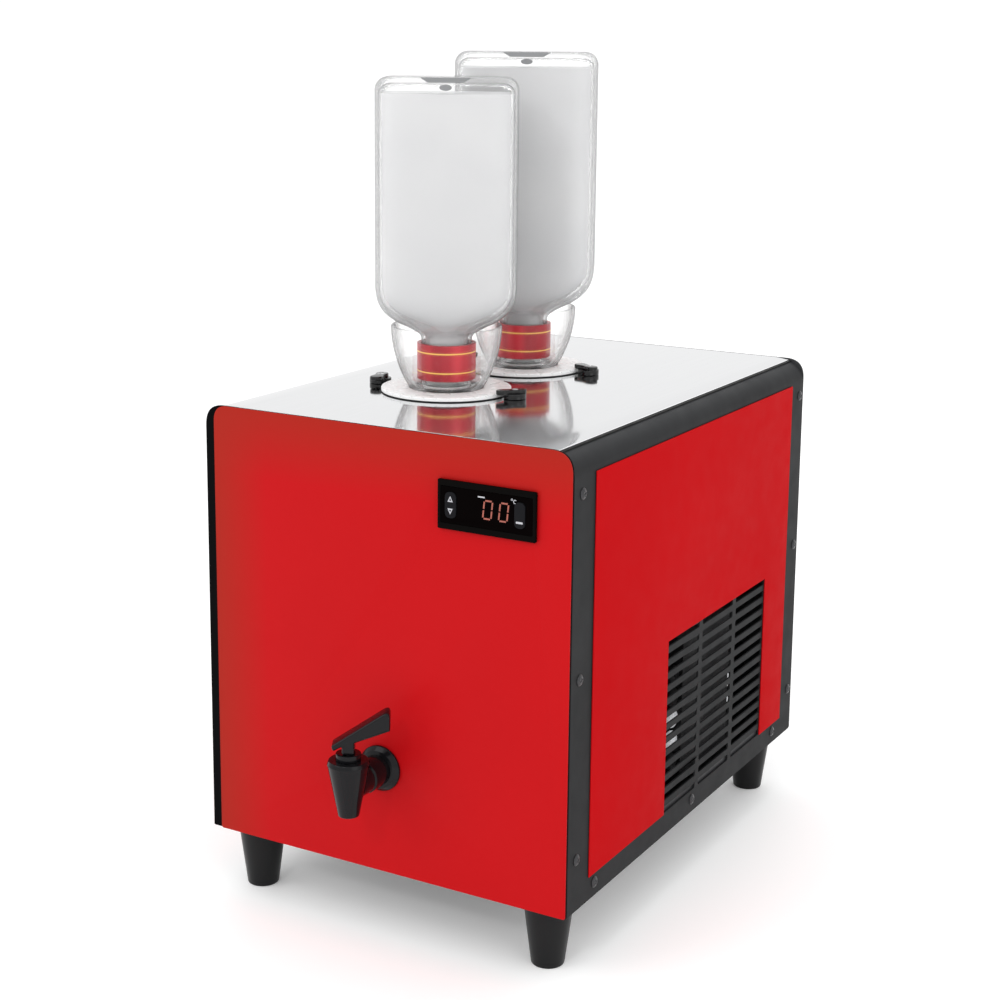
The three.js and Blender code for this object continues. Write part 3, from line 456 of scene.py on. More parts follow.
def turned(name, outline, segments=72):
    """A solid of revolution about Z, from [radius, z] points in millimetres."""
    rings = []
    vertices = []
    for radius, z in outline:
        if radius <= 1e-6:
            rings.append([len(vertices)] * segments)
            vertices.append((0, 0, z * MM))
            continue
        first = len(vertices)
        rings.append([first + i for i in range(segments)])
        for i in range(segments):
            turn = 2 * math.pi * i / segments
            vertices.append((radius * MM * math.cos(turn), radius * MM * math.sin(turn), z * MM))
    faces = []
    closed = outline[0][0] > 1e-6
    pairs = list(zip(rings, rings[1:] + ([rings[0]] if closed else [])))
    for low, high in pairs if closed else pairs[: len(rings) - 1]:
        for i in range(segments):
            j = (i + 1) % segments
            corners = dict.fromkeys((low[i], low[j], high[j], high[i]))
            if len(corners) > 2:
                faces.append(tuple(corners))
    return smooth(tidy_normals(mesh_object(name, vertices, faces)))


def flat_curve(name, outlines):
    """A filled flat curve from outlines in millimetres. An outline inside another one is a hole."""
    curve = bpy.data.curves.new(name, "CURVE")
    curve.dimensions = "2D"
    curve.fill_mode = "BOTH"
    for outline in outlines:
        spline = curve.splines.new("POLY")
        spline.points.add(len(outline) - 1)
        for point, (x, y) in zip(spline.points, outline):
            point.co = (x * MM, y * MM, 0, 1)
        spline.use_cyclic_u = True
    return curve


def curve_mesh(curve):
    holder = bpy.data.objects.new(curve.name + "_outline", curve)
    bpy.context.scene.collection.objects.link(holder)
    bpy.context.view_layer.update()
    mesh = bpy.data.meshes.new_from_object(holder.evaluated_get(bpy.context.evaluated_depsgraph_get()))
    bpy.data.objects.remove(holder)
    return mesh


def plate(name, outlines, thickness, edge, resolution=2):
    """A flat plate in X and Y with holes, its edges rounded. Its back is at z 0 and its face at z thickness."""
    curve = flat_curve(name, outlines)
    curve.extrude = (thickness / 2 - edge) * MM
    curve.bevel_depth = edge * MM
    curve.bevel_resolution = resolution
    curve.offset = -edge * MM
    mesh = curve_mesh(curve)
    mesh.name = name
    mesh.transform(Matrix.Translation((0, 0, thickness / 2 * MM)))
    made = bpy.data.objects.new(name, mesh)
    bpy.context.scene.collection.objects.link(made)
    return smooth(tidy_normals(made), 40)


FACING_FRONT = Matrix(((1, 0, 0, 0), (0, 0, -1, 0), (0, 1, 0, 0), (0, 0, 0, 1)))
FACING_REAR = Matrix(((-1, 0, 0, 0), (0, 0, 1, 0), (0, 1, 0, 0), (0, 0, 0, 1)))
FACING_RIGHT = Matrix(((0, 0, 1, 0), (1, 0, 0, 0), (0, 1, 0, 0), (0, 0, 0, 1)))


def moved(made, matrix):
    made.data.transform(matrix)
    if matrix.determinant() < 0:
        made.data.flip_normals()
    made.data.update()
    return made


def joined(name, parts):
    """One mesh object from several."""
    edit = bmesh.new()
    for part in parts:
        edit.from_mesh(part.data)
    mesh = bpy.data.meshes.new(name)
    edit.to_mesh(mesh)
    edit.free()
    for part in parts:
        bpy.data.objects.remove(part)
    made = bpy.data.objects.new(name, mesh)
    bpy.context.scene.collection.objects.link(made)
    return smooth(made, 40)


def block(name, low, high, edge):
    """A box between two corners in millimetres, its edges rounded."""
    made = mesh_object(name, [
        (x * MM, y * MM, z * MM)
        for z in (low[2], high[2]) for y in (low[1], high[1]) for x in (low[0], high[0])
    ], [(0, 2, 3, 1), (4, 5, 7, 6), (0, 1, 5, 4), (2, 6, 7, 3), (0, 4, 6, 2), (1, 3, 7, 5)])
    return bevelled(made, edge)


def subtract(made, cutter):
    cutting = made.modifiers.new("cut", "BOOLEAN")
    cutting.operation = "DIFFERENCE"
    cutting.solver = "EXACT"
    cutting.object = cutter
    apply_modifiers(made)
    bpy.data.objects.remove(cutter)
    return made


def finish(made, body, slot, material, *nodes):
    """Gives a piece its material and its body, and hides the CAD nodes it stands for. Its slot is not used."""
    made.data.materials.clear()
    made.data.materials.append(LOOKS[material])
    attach(made, body)
    if nodes:
        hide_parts(*nodes)
    return made


def put(made, place, turn=0):
    """Moves a mesh to its place, after a turn about Z in degrees."""
    return moved(made, Matrix.Translation(place) @ Matrix.Rotation(math.radians(turn), 4, "Z"))


def refined(node, edge, body, slot, material):
    """A copy of a CAD node with its flat faces whole and its edges rounded, which stands for it."""
    made = bpy.data.objects.new(node + "_finished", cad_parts[node].data.copy())
    bpy.context.scene.collection.objects.link(made)
    edit = bmesh.new()
    edit.from_mesh(made.data)
    bmesh.ops.remove_doubles(edit, verts=edit.verts, dist=1e-6)
    bmesh.ops.dissolve_limit(
        edit, angle_limit=math.radians(1.5), verts=edit.verts, edges=edit.edges,
    )
    edit.to_mesh(made.data)
    edit.free()
    bevelled(made, edge)
    return finish(made, body, slot, material, node)


# ---- Case ----
def slot_outlines(rows, columns, length, first, low):
    """Rounded slots, from the lowest row up, as outlines in millimetres."""
    made = []
    for column in range(columns):
        for row in range(rows):
            left = first + column * (length + SLOT_POST)
            bottom = low + row * (SLOT_HEIGHT + SLOT_WEB)
            made.append(rectangle(left, bottom, left + length, bottom + SLOT_HEIGHT, SLOT_ROUND, 4))
    return made


def side_sheet():
    """The right panel's outer surface: a flat side with its slots, and the roll over the top."""
    slot_length = (VENT_LENGTH - (VENT_COLUMNS - 1) * SLOT_POST) / VENT_COLUMNS
    low = VENT_TOP - SLOT_HEIGHT - (VENT_ROWS - 1) * (SLOT_HEIGHT + SLOT_WEB)
    bend = ROLL_TOP - CORNER
    flat = [(INSIDE_FRONT, 0), (INSIDE_REAR, 0), (INSIDE_REAR, bend), (INSIDE_FRONT, bend)]
    outlines = [flat, *slot_outlines(VENT_ROWS, VENT_COLUMNS, slot_length, VENT_FRONT, low)]
    mesh = curve_mesh(flat_curve("side_sheet", outlines))
    mesh.transform(Matrix.Translation((HALF_WIDTH * MM, 0, 0)) @ FACING_RIGHT)
    edit = bmesh.new()
    edit.from_mesh(mesh)
    profile = arc(HALF_WIDTH - CORNER, bend, CORNER, 0, 90, 16)
    profile.append((HALF_WIDTH - CORNER - FLANGE_DEPTH, ROLL_TOP))
    rows = [
        [edit.verts.new((x * MM, y * MM, z * MM)) for y in (INSIDE_FRONT, INSIDE_REAR)]
        for x, z in profile
    ]
    for a, b in zip(rows, rows[1:]):
        edit.faces.new((a[0], a[1], b[1], b[0]))
    bmesh.ops.remove_doubles(edit, verts=edit.verts, dist=1e-6)
    bmesh.ops.recalc_face_normals(edit, faces=edit.faces)
    edit.to_mesh(mesh)
    edit.free()
    return mesh


def side_panels():
    sheet = side_sheet()
    for side, sign in (("right", 1), ("left", -1)):
        made = bpy.data.objects.new(f"{side}_panel", sheet.copy())
        bpy.context.scene.collection.objects.link(made)
        outward = sum(
            polygon.normal.x * polygon.area for polygon in made.data.polygons
        )
        if outward < 0:
            made.data.flip_normals()
        thicken = made.modifiers.new("thickness", "SOLIDIFY")
        thicken.thickness = SHEET * MM
        thicken.offset = -1
        apply_modifiers(made)
        bevelled(made, 0.3, 2, 50)
        moved(made, Matrix.Translation(at(0, 0, 0)) @ Matrix.Diagonal((sign, 1, 1, 1)))
        finish(made, "root", "black_steel", "side_paint", f"{side}_side_panel")


def red_skins():
    rear = CASE_DEPTH - SKIN_REAR
    top = CASE_HEIGHT - SKIN_TOP
    vent_end = VENT_FRONT + VENT_LENGTH
    outline = [
        (SKIN_FRONT, SKIN_BOTTOM), (VENT_FRONT, SKIN_BOTTOM), (VENT_FRONT, VENT_TOP),
        (vent_end, VENT_TOP), (vent_end, SKIN_BOTTOM), (rear, SKIN_BOTTOM), (rear, top), (SKIN_FRONT, top),
    ]
    for side, sign in (("right", 1), ("left", -1)):
        made = plate(f"{side}_coloured_sheet", [outline], SKIN, 0.15)
        moved(made, Matrix.Translation(((HALF_WIDTH + GAP) * MM, 0, 0)) @ FACING_RIGHT)
        moved(made, Matrix.Translation(at(0, 0, 0)) @ Matrix.Diagonal((sign, 1, 1, 1)))
        finish(made, "root", "red_skin", "red_paint", f"{side}_red_skin")


def circle(x, z, radius, steps=32):
    return arc(x, z, radius, 0, 360 - 360 / steps, steps - 1)


def front_holes():
    return [rectangle(CONTROL_X - 35.5, CONTROL_Z - 14.5, CONTROL_X + 35.5, CONTROL_Z + 14.5, 0.5, 2),
            circle(TAP_X, TAP_HEIGHT, 8.3)]


def end_flanges(name, low, high):
    outer = HALF_WIDTH - SHEET - GAP
    return [
        block(name, (min(sign * outer, sign * (outer - SHEET)), low, 4),
              (max(sign * outer, sign * (outer - SHEET)), high, ROLL_TOP - CORNER - 4), 0.2)
        for sign in (1, -1)
    ]


def end_outline():
    return rectangle(-HALF_WIDTH, 0, HALF_WIDTH, CASE_HEIGHT, [1, 1, CORNER, CORNER], 14)


def front():
    backing = plate("front_plate", [end_outline(), *front_holes()], SHEET, 0.3)
    moved(backing, Matrix.Translation((0, (PLATE_START + SHEET) * MM, 0)) @ FACING_FRONT)
    made = joined("front_steel", [backing, *end_flanges("flange", PLATE_START + SHEET - 0.1, INSIDE_FRONT + 24)])
    moved(made, Matrix.Translation(at(0, 0, 0)))
    finish(made, "root", "black_steel", "front_edge", "front_panel")
    radii = [2, 2, CORNER, CORNER - 4]
    outline = rectangle(-HALF_WIDTH + FASCIA_INSET, 0, HALF_WIDTH, CASE_HEIGHT, radii, 14)
    sheet = plate("fascia", [outline, *front_holes()], FASCIA, 0.3, 3)
    moved(sheet, Matrix.Translation(at(0, FASCIA, 0)) @ FACING_FRONT)
    finish(sheet, "root", "red_skin", "fascia_red", "front_fascia")


def rear():
    slots = slot_outlines(REAR_SLOT_ROWS, 2, REAR_SLOT_LENGTH, -REAR_SLOT_LENGTH - SLOT_POST / 2, REAR_SLOT_BOTTOM)
    windows = [
        rectangle(-INLET_X - 13.8, INLET_Z - 10.3, -INLET_X + 13.8, INLET_Z + 10.3, 1, 3),
        rectangle(-SWITCH_X - 9.8, INLET_Z - 6.8, -SWITCH_X + 9.8, INLET_Z + 6.8, 1, 3),
    ]
    backing = plate("rear_plate", [end_outline(), *slots, *windows], SHEET, 0.3)
    moved(backing, Matrix.Translation((0, (CASE_DEPTH - SHEET) * MM, 0)) @ FACING_REAR)
    flanges = end_flanges("flange", INSIDE_REAR - FLANGE_DEPTH, CASE_DEPTH - SHEET + 0.1)
    made = joined("rear_steel", [backing, *flanges])
    moved(made, Matrix.Translation(at(0, 0, 0)))
    finish(made, "root", "black_steel", "steel_paint", "rear_panel")


def top():
    edge = HALF_WIDTH - 13
    blend = 18
    drop = 1.0
    flat = edge - blend
    side = [(flat + blend * t, CASE_HEIGHT - drop * t ** 2) for t in (i / 10 for i in range(11))]
    upper = [(-x, z) for x, z in reversed(side)] + side
    lower = [(x, z - 1) for x, z in reversed(upper)]
    ring = upper + lower
    count = len(ring)
    vertices = [(x * MM, y * MM, z * MM) for y in (INSIDE_FRONT, INSIDE_REAR) for x, z in ring]
    faces = [(i, (i + 1) % count, count + (i + 1) % count, count + i) for i in range(count)]
    for offset in (0, count):
        for i in range(len(upper) - 1):
            faces.append((offset + i, offset + i + 1, offset + count - 2 - i, offset + count - 1 - i))
    made = tidy_normals(mesh_object("polished_top", vertices, faces))
    for y in CUP_Y.values():
        cutter = turned("port", [(0, 320), (20, 320), (20, 340), (0, 340)], 48)
        subtract(made, moved(cutter, Matrix.Translation((CUP_X * MM, y * MM, 0))))
    bevelled(made, 0.25, 2, 50)
    moved(made, Matrix.Translation(at(0, 0, 0)))
    finish(made, "root", "stainless", "polished_steel", "top_panel")


def top_seams():
    """Dark strip that closes the groove between the polished top and each side's roll."""
    for side, sign in (("right", 1), ("left", -1)):
        xs = sorted(sign * x for x in (HALF_WIDTH - 12.8, HALF_WIDTH - 11.2))
        made = block(f"{side}_top_groove_strip", (xs[0], INSIDE_FRONT, 328.2), (xs[1], INSIDE_REAR, 329.3), 0.2)
        moved(made, Matrix.Translation(at(0, 0, 0)))
        finish(made, "root", "black_plastic", "dark_line_black")


def feet():
    outline = filleted([(0, -50), (12, -50), (18, -4), (18, -GAP), (0, -GAP)], [0, 1.5, 1.0, 0.4, 0], 5, False)
    for end, y in (("front", 27), ("rear", CASE_DEPTH - 27)):
        for side, sign in (("left", -1), ("right", 1)):
            made = turned(f"{end}_{side}_tapered_foot", outline, 64)
            put(made, at(sign * (HALF_WIDTH - 27), y, 0))
            finish(made, "root", "black_plastic", "black_moulding", f"{end}_{side}_foot")


def screw_head(name, radius, height):
    """A domed head with a cross recess, its axis along +Z."""
    dome = [(0, height), (radius * 0.45, height * 0.97), (radius * 0.8, height * 0.7), (radius, height * 0.25)]
    outline = [(0, 0), (radius, 0), *reversed(dome)]
    head = turned(name, outline, 32)
    arm = radius * 0.55
    for turn in (0, 90):
        low, high = (-arm, -radius * 0.11, height * 0.45), (arm, radius * 0.11, height + 1)
        cutter = block("cross", low, high, 0.01)
        subtract(head, moved(cutter, Matrix.Rotation(math.radians(turn + 20), 4, "Z")))
    return smooth(tidy_normals(head), 35)


SIDE_SCREWS = (
    (15.5, 300), (15.5, 169.5), (15.5, 38.5), (44, 10.7), (213, 10.7),
    (382.5, 10.7), (417, 38.6), (417, 170), (417, 301),
)


def side_screws():
    for side, sign in (("right", 1), ("left", -1)):
        heads = []
        for y, z in SIDE_SCREWS:
            head = screw_head("head", 4.1, 1.7)
            turn = Matrix(((0, 0, sign, 0), (sign, 0, 0, 0), (0, 1, 0, 0), (0, 0, 0, 1)))
            heads.append(moved(head, Matrix.Translation(at(sign * (HALF_WIDTH + 0.02), y, z)) @ turn))
        made = joined(f"{side}_side_screws", heads)
        finish(made, "root", "black_steel", "dark_screw")


# ---- Tap ----
def along_front(made):
    """Turns a piece made about Z so that its axis runs out of the case, towards -Y."""
    return moved(made, Matrix.Rotation(math.radians(90), 4, "X"))


def tap():
    centre = at(TAP_X, 0, TAP_HEIGHT)
    disc = filleted([
        (8.3, GAP), (17, GAP), (17, 2), (14, 4.6), (11.2, 5.3), (8.3, 5.3),
    ], [0, 0.5, 1.2, 1.5, 0.8, 0], 5)
    made = along_front(turned("tap_collar", disc))
    finish(moved(made, Matrix.Translation(centre)), "root", "tap_black", "tap_gloss", "tap_flange")
    tap_body(centre)
    tap_bonnet(centre + Vector((0, -TAP_REACH, SPOUT_TOP)) * MM)
    tap_lever(centre + Vector((0, -TAP_REACH, SPOUT_TOP + BONNET_HEIGHT)) * MM)


def tap_body(centre):
    outline = filleted([
        (4.5, -21), (7.5, -21), (15.1, 17.6), (14, SPOUT_TOP), (2.5, SPOUT_TOP), (2.5, 0), (4.5, 0),
    ], [0.3, 0.8, 1.4, 1.0, 0.3, 0, 0], 5)
    spout = moved(turned("spout", outline), Matrix.Translation((0, -TAP_REACH * MM, 0)))
    neck_outline = filleted([
        (8.3, 5.6), (11.6, 5.6), (11.6, 22), (10.4, 23), (10.9, 24), (10.9, 36), (8.3, 36),
    ], [0, 0.6, 0.8, 0.3, 0.6, 0, 0], 4)
    neck = along_front(turned("neck", neck_outline))
    made = joined("tap_spout", [spout, neck])
    finish(moved(made, Matrix.Translation(centre)), "root", "tap_black", "tap_gloss", "tap_body")


def tap_bonnet(place):
    outline = filleted([(2.6, GAP), (9, GAP), (9, BONNET_HEIGHT), (2.6, BONNET_HEIGHT)], [0, 0.2, 0.7, 0.3], 4)
    made = put(turned("tap_cap", outline), place)
    finish(made, "root", "tap_black", "tap_gloss", "tap_bonnet")


def tap_lever(place):
    outline = filleted([
        (4.6, 0.8), (4.6, 9.2), (29.5, 18.2), (29.5, 33.7),
        (-11.6, 6.9), (-10.6, 2.9), (-4.2, 6.4), (-4.2, 0.8),
    ], [1.2, 0.8, 0.8, 3.4, 1.8, 1.6, 0.8, 1.2], 6)
    made = plate("tap_handle_lever", [outline], 14, 1.6, 4)
    moved(made, Matrix.Translation((0, 7 * MM, 0)) @ FACING_FRONT)
    finish(put(made, place, LEVER_TURN), "tap_handle", "tap_black", "tap_gloss", "tap_lever")


# ---- Cups ----
def bowl_radius(share):
    return 28.6 + (42.5 - 28.6) * math.sin(math.pi / 2 * share) ** 0.82


def bowl(name):
    low = 3.6
    high = 50
    wall = 2.5
    shares = [i / 24 for i in range(25)]
    height = [low + (high - low) * share for share in shares]
    outside = [(bowl_radius(s), z) for s, z in zip(shares, height)]
    inside = [(bowl_radius(s) - wall, z) for s, z in zip(shares, height) if s > 0.06]
    lip = arc(bowl_radius(1) - wall / 2, high, wall / 2, 10, 170, 6)
    outline = [
        (9.3, GAP), (32.6, GAP), (32.6, 1.5), (28.6, 1.5), *outside[:-1], *lip,
        *reversed(inside[:-1]), (25.0, 4.2), (22.5, 3.2), (9.3, 3.0),
    ]
    return turned(name, outline, 96)


def collar(name):
    """White disc with fine notches round its edge."""
    outline = filleted([
        (32.9, GAP), (50, GAP), (50, 3.3), (28.9, 3.3), (28.9, 1.8), (32.9, 1.8),
    ], [0, 0.3, 0.7, 0.3, 0, 0], 4)
    made = turned(name, outline, 120)
    notches = []
    for i in range(32):
        notch = block("notch", (48.9, -0.9, 1.6), (52, 0.9, 5), 0.2)
        notches.append(moved(notch, Matrix.Rotation(2 * math.pi * i / 32, 4, "Z")))
    subtract(made, joined("notches", notches))
    return smooth(tidy_normals(made), 35)


def spike(name):
    outline = filleted([
        (5, -40), (9, -40), (9, 3.3), (18, 3.3), (18, 5.3), (9, 5.3), (9, 20), (7, 26), (5, 26),
    ], [0, 0, 0, 0.4, 0.6, 1, 1, 0.8, 0.4], 4)
    return turned(name, outline, 48)


def ring(z, half_x, half_y, power, count=96):
    """Points round a shape between an ellipse (power 2) and a rectangle (a high power)."""
    points = []
    for i in range(count):
        turn = 2 * math.pi * (i + 0.5) / count
        x, y = math.cos(turn), math.sin(turn)
        points.append((
            half_x * math.copysign(abs(x) ** (2 / power), x) * MM,
            half_y * math.copysign(abs(y) ** (2 / power), y) * MM,
            z * MM,
        ))
    return points


def lofted(name, rings, count=96):
    """A skin over stacked rings, closed at both ends."""
    vertices = [point for values in rings for point in ring(*values, count)]
    faces = []
    for a in range(len(rings) - 1):
        for i in range(count):
            j = (i + 1) % count
            faces.append((a * count + i, a * count + j, (a + 1) * count + j, (a + 1) * count + i))
    faces.append(tuple(reversed(range(count))))
    last = (len(rings) - 1) * count
    faces.append(tuple(last + i for i in range(count)))
    return smooth(tidy_normals(mesh_object(name, vertices, faces)), 50)


def between(stations, steps):
    """A smooth run of values through the stations (Catmull-Rom)."""
    made = []
    for i in range(len(stations) - 1):
        a = stations[max(i - 1, 0)]
        b, c = stations[i], stations[i + 1]
        d = stations[min(i + 2, len(stations) - 1)]
        for step in range(steps):
            t = step / steps
            made.append(tuple(
                0.5 * (2 * q + (r - p) * t + (2 * p - 5 * q + 4 * r - s) * t * t + (3 * q - p - 3 * r + s) * t ** 3)
                for p, q, r, s in zip(a, b, c, d)
            ))
    made.append(tuple(stations[-1]))
    return made


NECK = 19.5
NECK_TOP = 42
# From the neck's end to the full body: the share of the height, the growth in x and y, and the squareness.
SHOULDER = (
    (0, 0, 0, 2.0), (0.08, 0.075, 0.10, 2.05), (0.19, 0.29, 0.38, 2.2), (0.33, 0.60, 0.68, 2.6),
    (0.51, 0.83, 0.87, 3.4), (0.74, 0.96, 0.97, 4.4), (1, 1, 1, 5.0),
)


def shoulder(bottle, inset):
    """Rings from the neck's end to where the body is full, drawn in by a wall."""
    half_x, half_y, _, full, _ = bottle
    stations = []
    for share, grow_x, grow_y, power in SHOULDER:
        lift = inset * 0.6 * math.sin(math.pi * share)
        z = NECK_TOP + (full - NECK_TOP) * share + lift
        x = NECK + (half_x - NECK) * grow_x - inset
        y = NECK + (half_y - NECK) * grow_y - inset
        stations.append((z, x, y, power))
    return between(stations, 5)


def heel(bottle, inset, top_z, radius):
    """Rings round an upper edge of the bottle or of its drink."""
    made = []
    for i in range(9):
        turn = math.pi / 2 * i / 8
        back = inset + radius * (1 - math.cos(turn))
        made.append((top_z - radius + radius * math.sin(turn), bottle[0] - back, bottle[1] - back, 5.0))
    return made


def bottle_glass(name, bottle):
    mouth = 5.9
    base = bottle[2]
    outer = [(mouth, NECK, NECK, 2.0), *shoulder(bottle, 0), *heel(bottle, 0, base, 10)]
    inner = [(mouth - 1, NECK - 3, NECK - 3, 2.0), *shoulder(bottle, 3), *heel(bottle, 3, base - 5, 8)]
    made = lofted(name, outer)
    return smooth(tidy_normals(subtract(made, lofted("hollow", inner))), 50)


def bottle_drink(name, bottle):
    inset = 3.3
    low = (28, NECK - inset, NECK - inset, 2.0)
    return lofted(name, [low, *shoulder(bottle, inset), *heel(bottle, inset, bottle[4], 1.0)])


def base_marks(name, bottle):
    """The moulded tab on the base's edge, and the small lens below it on the broad face, drawn in opaque grey as
    painted shade for the dark they show in clear glass.
    """
    tab = plate("tab", [filleted([(-19, 0), (19, 0), (13, -5.5), (-13, -5.5)], 0.5, 2)], 0.3, 0.1, 2)
    moved(tab, Matrix.Rotation(math.radians(-50), 4, "X"))
    moved(tab, Matrix.Translation(Vector((0, 5.2 - bottle[1], bottle[2] - 0.6)) * MM) @ FACING_FRONT)
    lens = [(4.6 * math.cos(t), 2.2 * math.sin(t)) for t in (2 * math.pi * i / 28 for i in range(28))]
    dot = plate("lens", [lens], 0.9, 0.25, 2)
    moved(dot, Matrix.Translation(Vector((0, 0.9 - bottle[1], bottle[2] - 7.6)) * MM) @ FACING_FRONT)
    return joined(name, [tab, dot])


def neck_label(name):
    outline = filleted([(19.8, 10.2), (22.5, 10.2), (22.5, 37.7), (19.8, 37.7)], 0.25, 3)
    return turned(name, outline, 96)


def gold_lines(name):
    bands = []
    for z in (16.2, 31.0):
        outline = filleted([(22.4, z), (22.62, z), (22.62, z + 1.0), (22.4, z + 1.0)], 0.05, 2)
        bands.append(turned("band", outline, 96))
    return joined(name, bands)


def clamp(name):
    """Waisted bar, its long end towards +X, with a round boss under its screw."""
    half = 5
    right = arc(10, 0, half, -90, 90, 12)
    left = arc(-4, 0, half, 90, 270, 12)
    waist = [(3 + 7 * t, half - 1.3 * math.cos(math.pi / 2 * t) ** 2) for t in (0.66, 0.33, 0, -0.33, -0.66)]
    low_waist = [(x, -z) for x, z in reversed(waist)]
    bar = plate("bar", [right + waist + left + low_waist], 3.4, 0.7, 3)
    moved(bar, Matrix.Translation((0, 0, 3.6 * MM)))
    boss = turned("boss", filleted([(2.3, GAP), (8.5, GAP), (8.5, 4.2), (2.3, 4.2)], [0, 0.3, 0.3, 0], 3), 40)
    return joined(name, [bar, boss])


def cups():
    for end in ("front", "rear"):
        place = at(CUP_X, CUP_Y[end], CASE_HEIGHT)
        finish(put(collar(f"{end}_collar_disc"), place), "root", "white_plastic", "white_moulding", f"{end}_cup_collar")
        # A thin dark ring round the foot of the collar.
        dark_ring = turned(f"{end}_collar_dark_ring", arc(50.25, 0.45, 0.35, 0, 330, 11), 120)
        finish(put(dark_ring, place), "root", "black_plastic", "dark_line_black")
        finish(put(bowl(f"{end}_clear_bowl"), place), "root", "clear_plastic", "cup_plastic", f"{end}_cup_bowl")
        finish(put(spike(f"{end}_spike"), place), "root", "white_plastic", "white_moulding", f"{end}_feed_spike")
        body = f"{end}_bottle"
        glass = put(bottle_glass(f"{end}_glass", BOTTLES[end]), place, BOTTLE_TURN)
        finish(glass, body, "bottle_glass", "bottle_glass", f"{end}_bottle_glass")
        drink = put(bottle_drink(f"{end}_drink", BOTTLES[end]), place, BOTTLE_TURN)
        finish(drink, body, "drink", "drink", f"{end}_bottle_drink")
        marks = put(base_marks(f"{end}_base_marks", BOTTLES[end]), place, BOTTLE_TURN)
        finish(marks, body, "bottle_glass", "glass_mark_shade")
        label = put(neck_label(f"{end}_sleeve"), place, BOTTLE_TURN)
        finish(label, body, "label_red", "neck_label", f"{end}_neck_label")
        finish(put(gold_lines(f"{end}_sleeve_lines"), place), body, "label_red", "gold_line")
        for side, sign in (("right", 1), ("left", -1)):
            clamps(end, side, sign)


def clamps(end, side, sign):
    name = f"{end}_{side}"
    pivot = at(CUP_X + sign * CLAMP_PIVOT, CUP_Y[end], CASE_HEIGHT)
    turn = (180 if sign > 0 else 0) + CLAMP_TURNS[name]
    body = f"{name}_turn_clamp"
    finish(put(clamp(f"{name}_bar"), pivot, turn), body, "black_plastic", "clamp_black", f"{name}_clamp")
    head = moved(screw_head(f"{name}_screw", 2.6, 0.9), Matrix.Translation((0, 0, 6.6 * MM)))
    finish(put(head, pivot, turn), "root", "stainless", "screw_steel", f"{name}_clamp_screw")


# ---- Controller ----
def on_panel(made, depth=0.0):
    """Puts a plate made in X and Y on the controller, its back that far in front of the fascia's face."""
    return moved(made, Matrix.Translation(at(CONTROL_X, -depth, CONTROL_Z)) @ FACING_FRONT)


def segment_digit(cx, cz, width, height, stroke, lean):
    """A seven-segment nought as six bars."""
    bars = []
    half_w, half_h = width / 2, height / 2
    spans = [
        ((-half_w, half_h), (half_w, half_h)), ((-half_w, -half_h), (half_w, -half_h)),
        ((-half_w, 0.5), (-half_w, half_h)), ((half_w, 0.5), (half_w, half_h)),
        ((-half_w, -half_h), (-half_w, -0.5)), ((half_w, -half_h), (half_w, -0.5)),
    ]
    for (x0, z0), (x1, z1) in spans:
        upright = x0 == x1
        trim = stroke * 0.6
        if upright:
            low, high = sorted((z0, z1))
            low += trim if low == -half_h else 0
            high -= trim if high == half_h else 0
            points = [(x0 - stroke / 2, low), (x0 + stroke / 2, low), (x0 + stroke / 2, high), (x0 - stroke / 2, high)]
        else:
            points = [(x0 + trim, z0 - stroke / 2), (x1 - trim, z0 - stroke / 2),
                      (x1 - trim, z0 + stroke / 2), (x0 + trim, z0 + stroke / 2)]
        bars.append([(cx + x + lean * z, cz + z) for x, z in points])
    return bars


def arrow(cx, cz, up):
    """An outlined triangle."""
    sign = 1 if up else -1
    outer = [(cx - 2.1, cz - 1.9 * sign), (cx + 2.1, cz - 1.9 * sign), (cx, cz + 2.3 * sign)]
    inner = [(cx - 0.9, cz - 1.0 * sign), (cx + 0.9, cz - 1.0 * sign), (cx, cz + 0.9 * sign)]
    return [outer, inner]


def key_outline(x, half_width, half_height, radius, steps):
    return rectangle(x - half_width, -half_height, x + half_width, half_height, radius, steps)


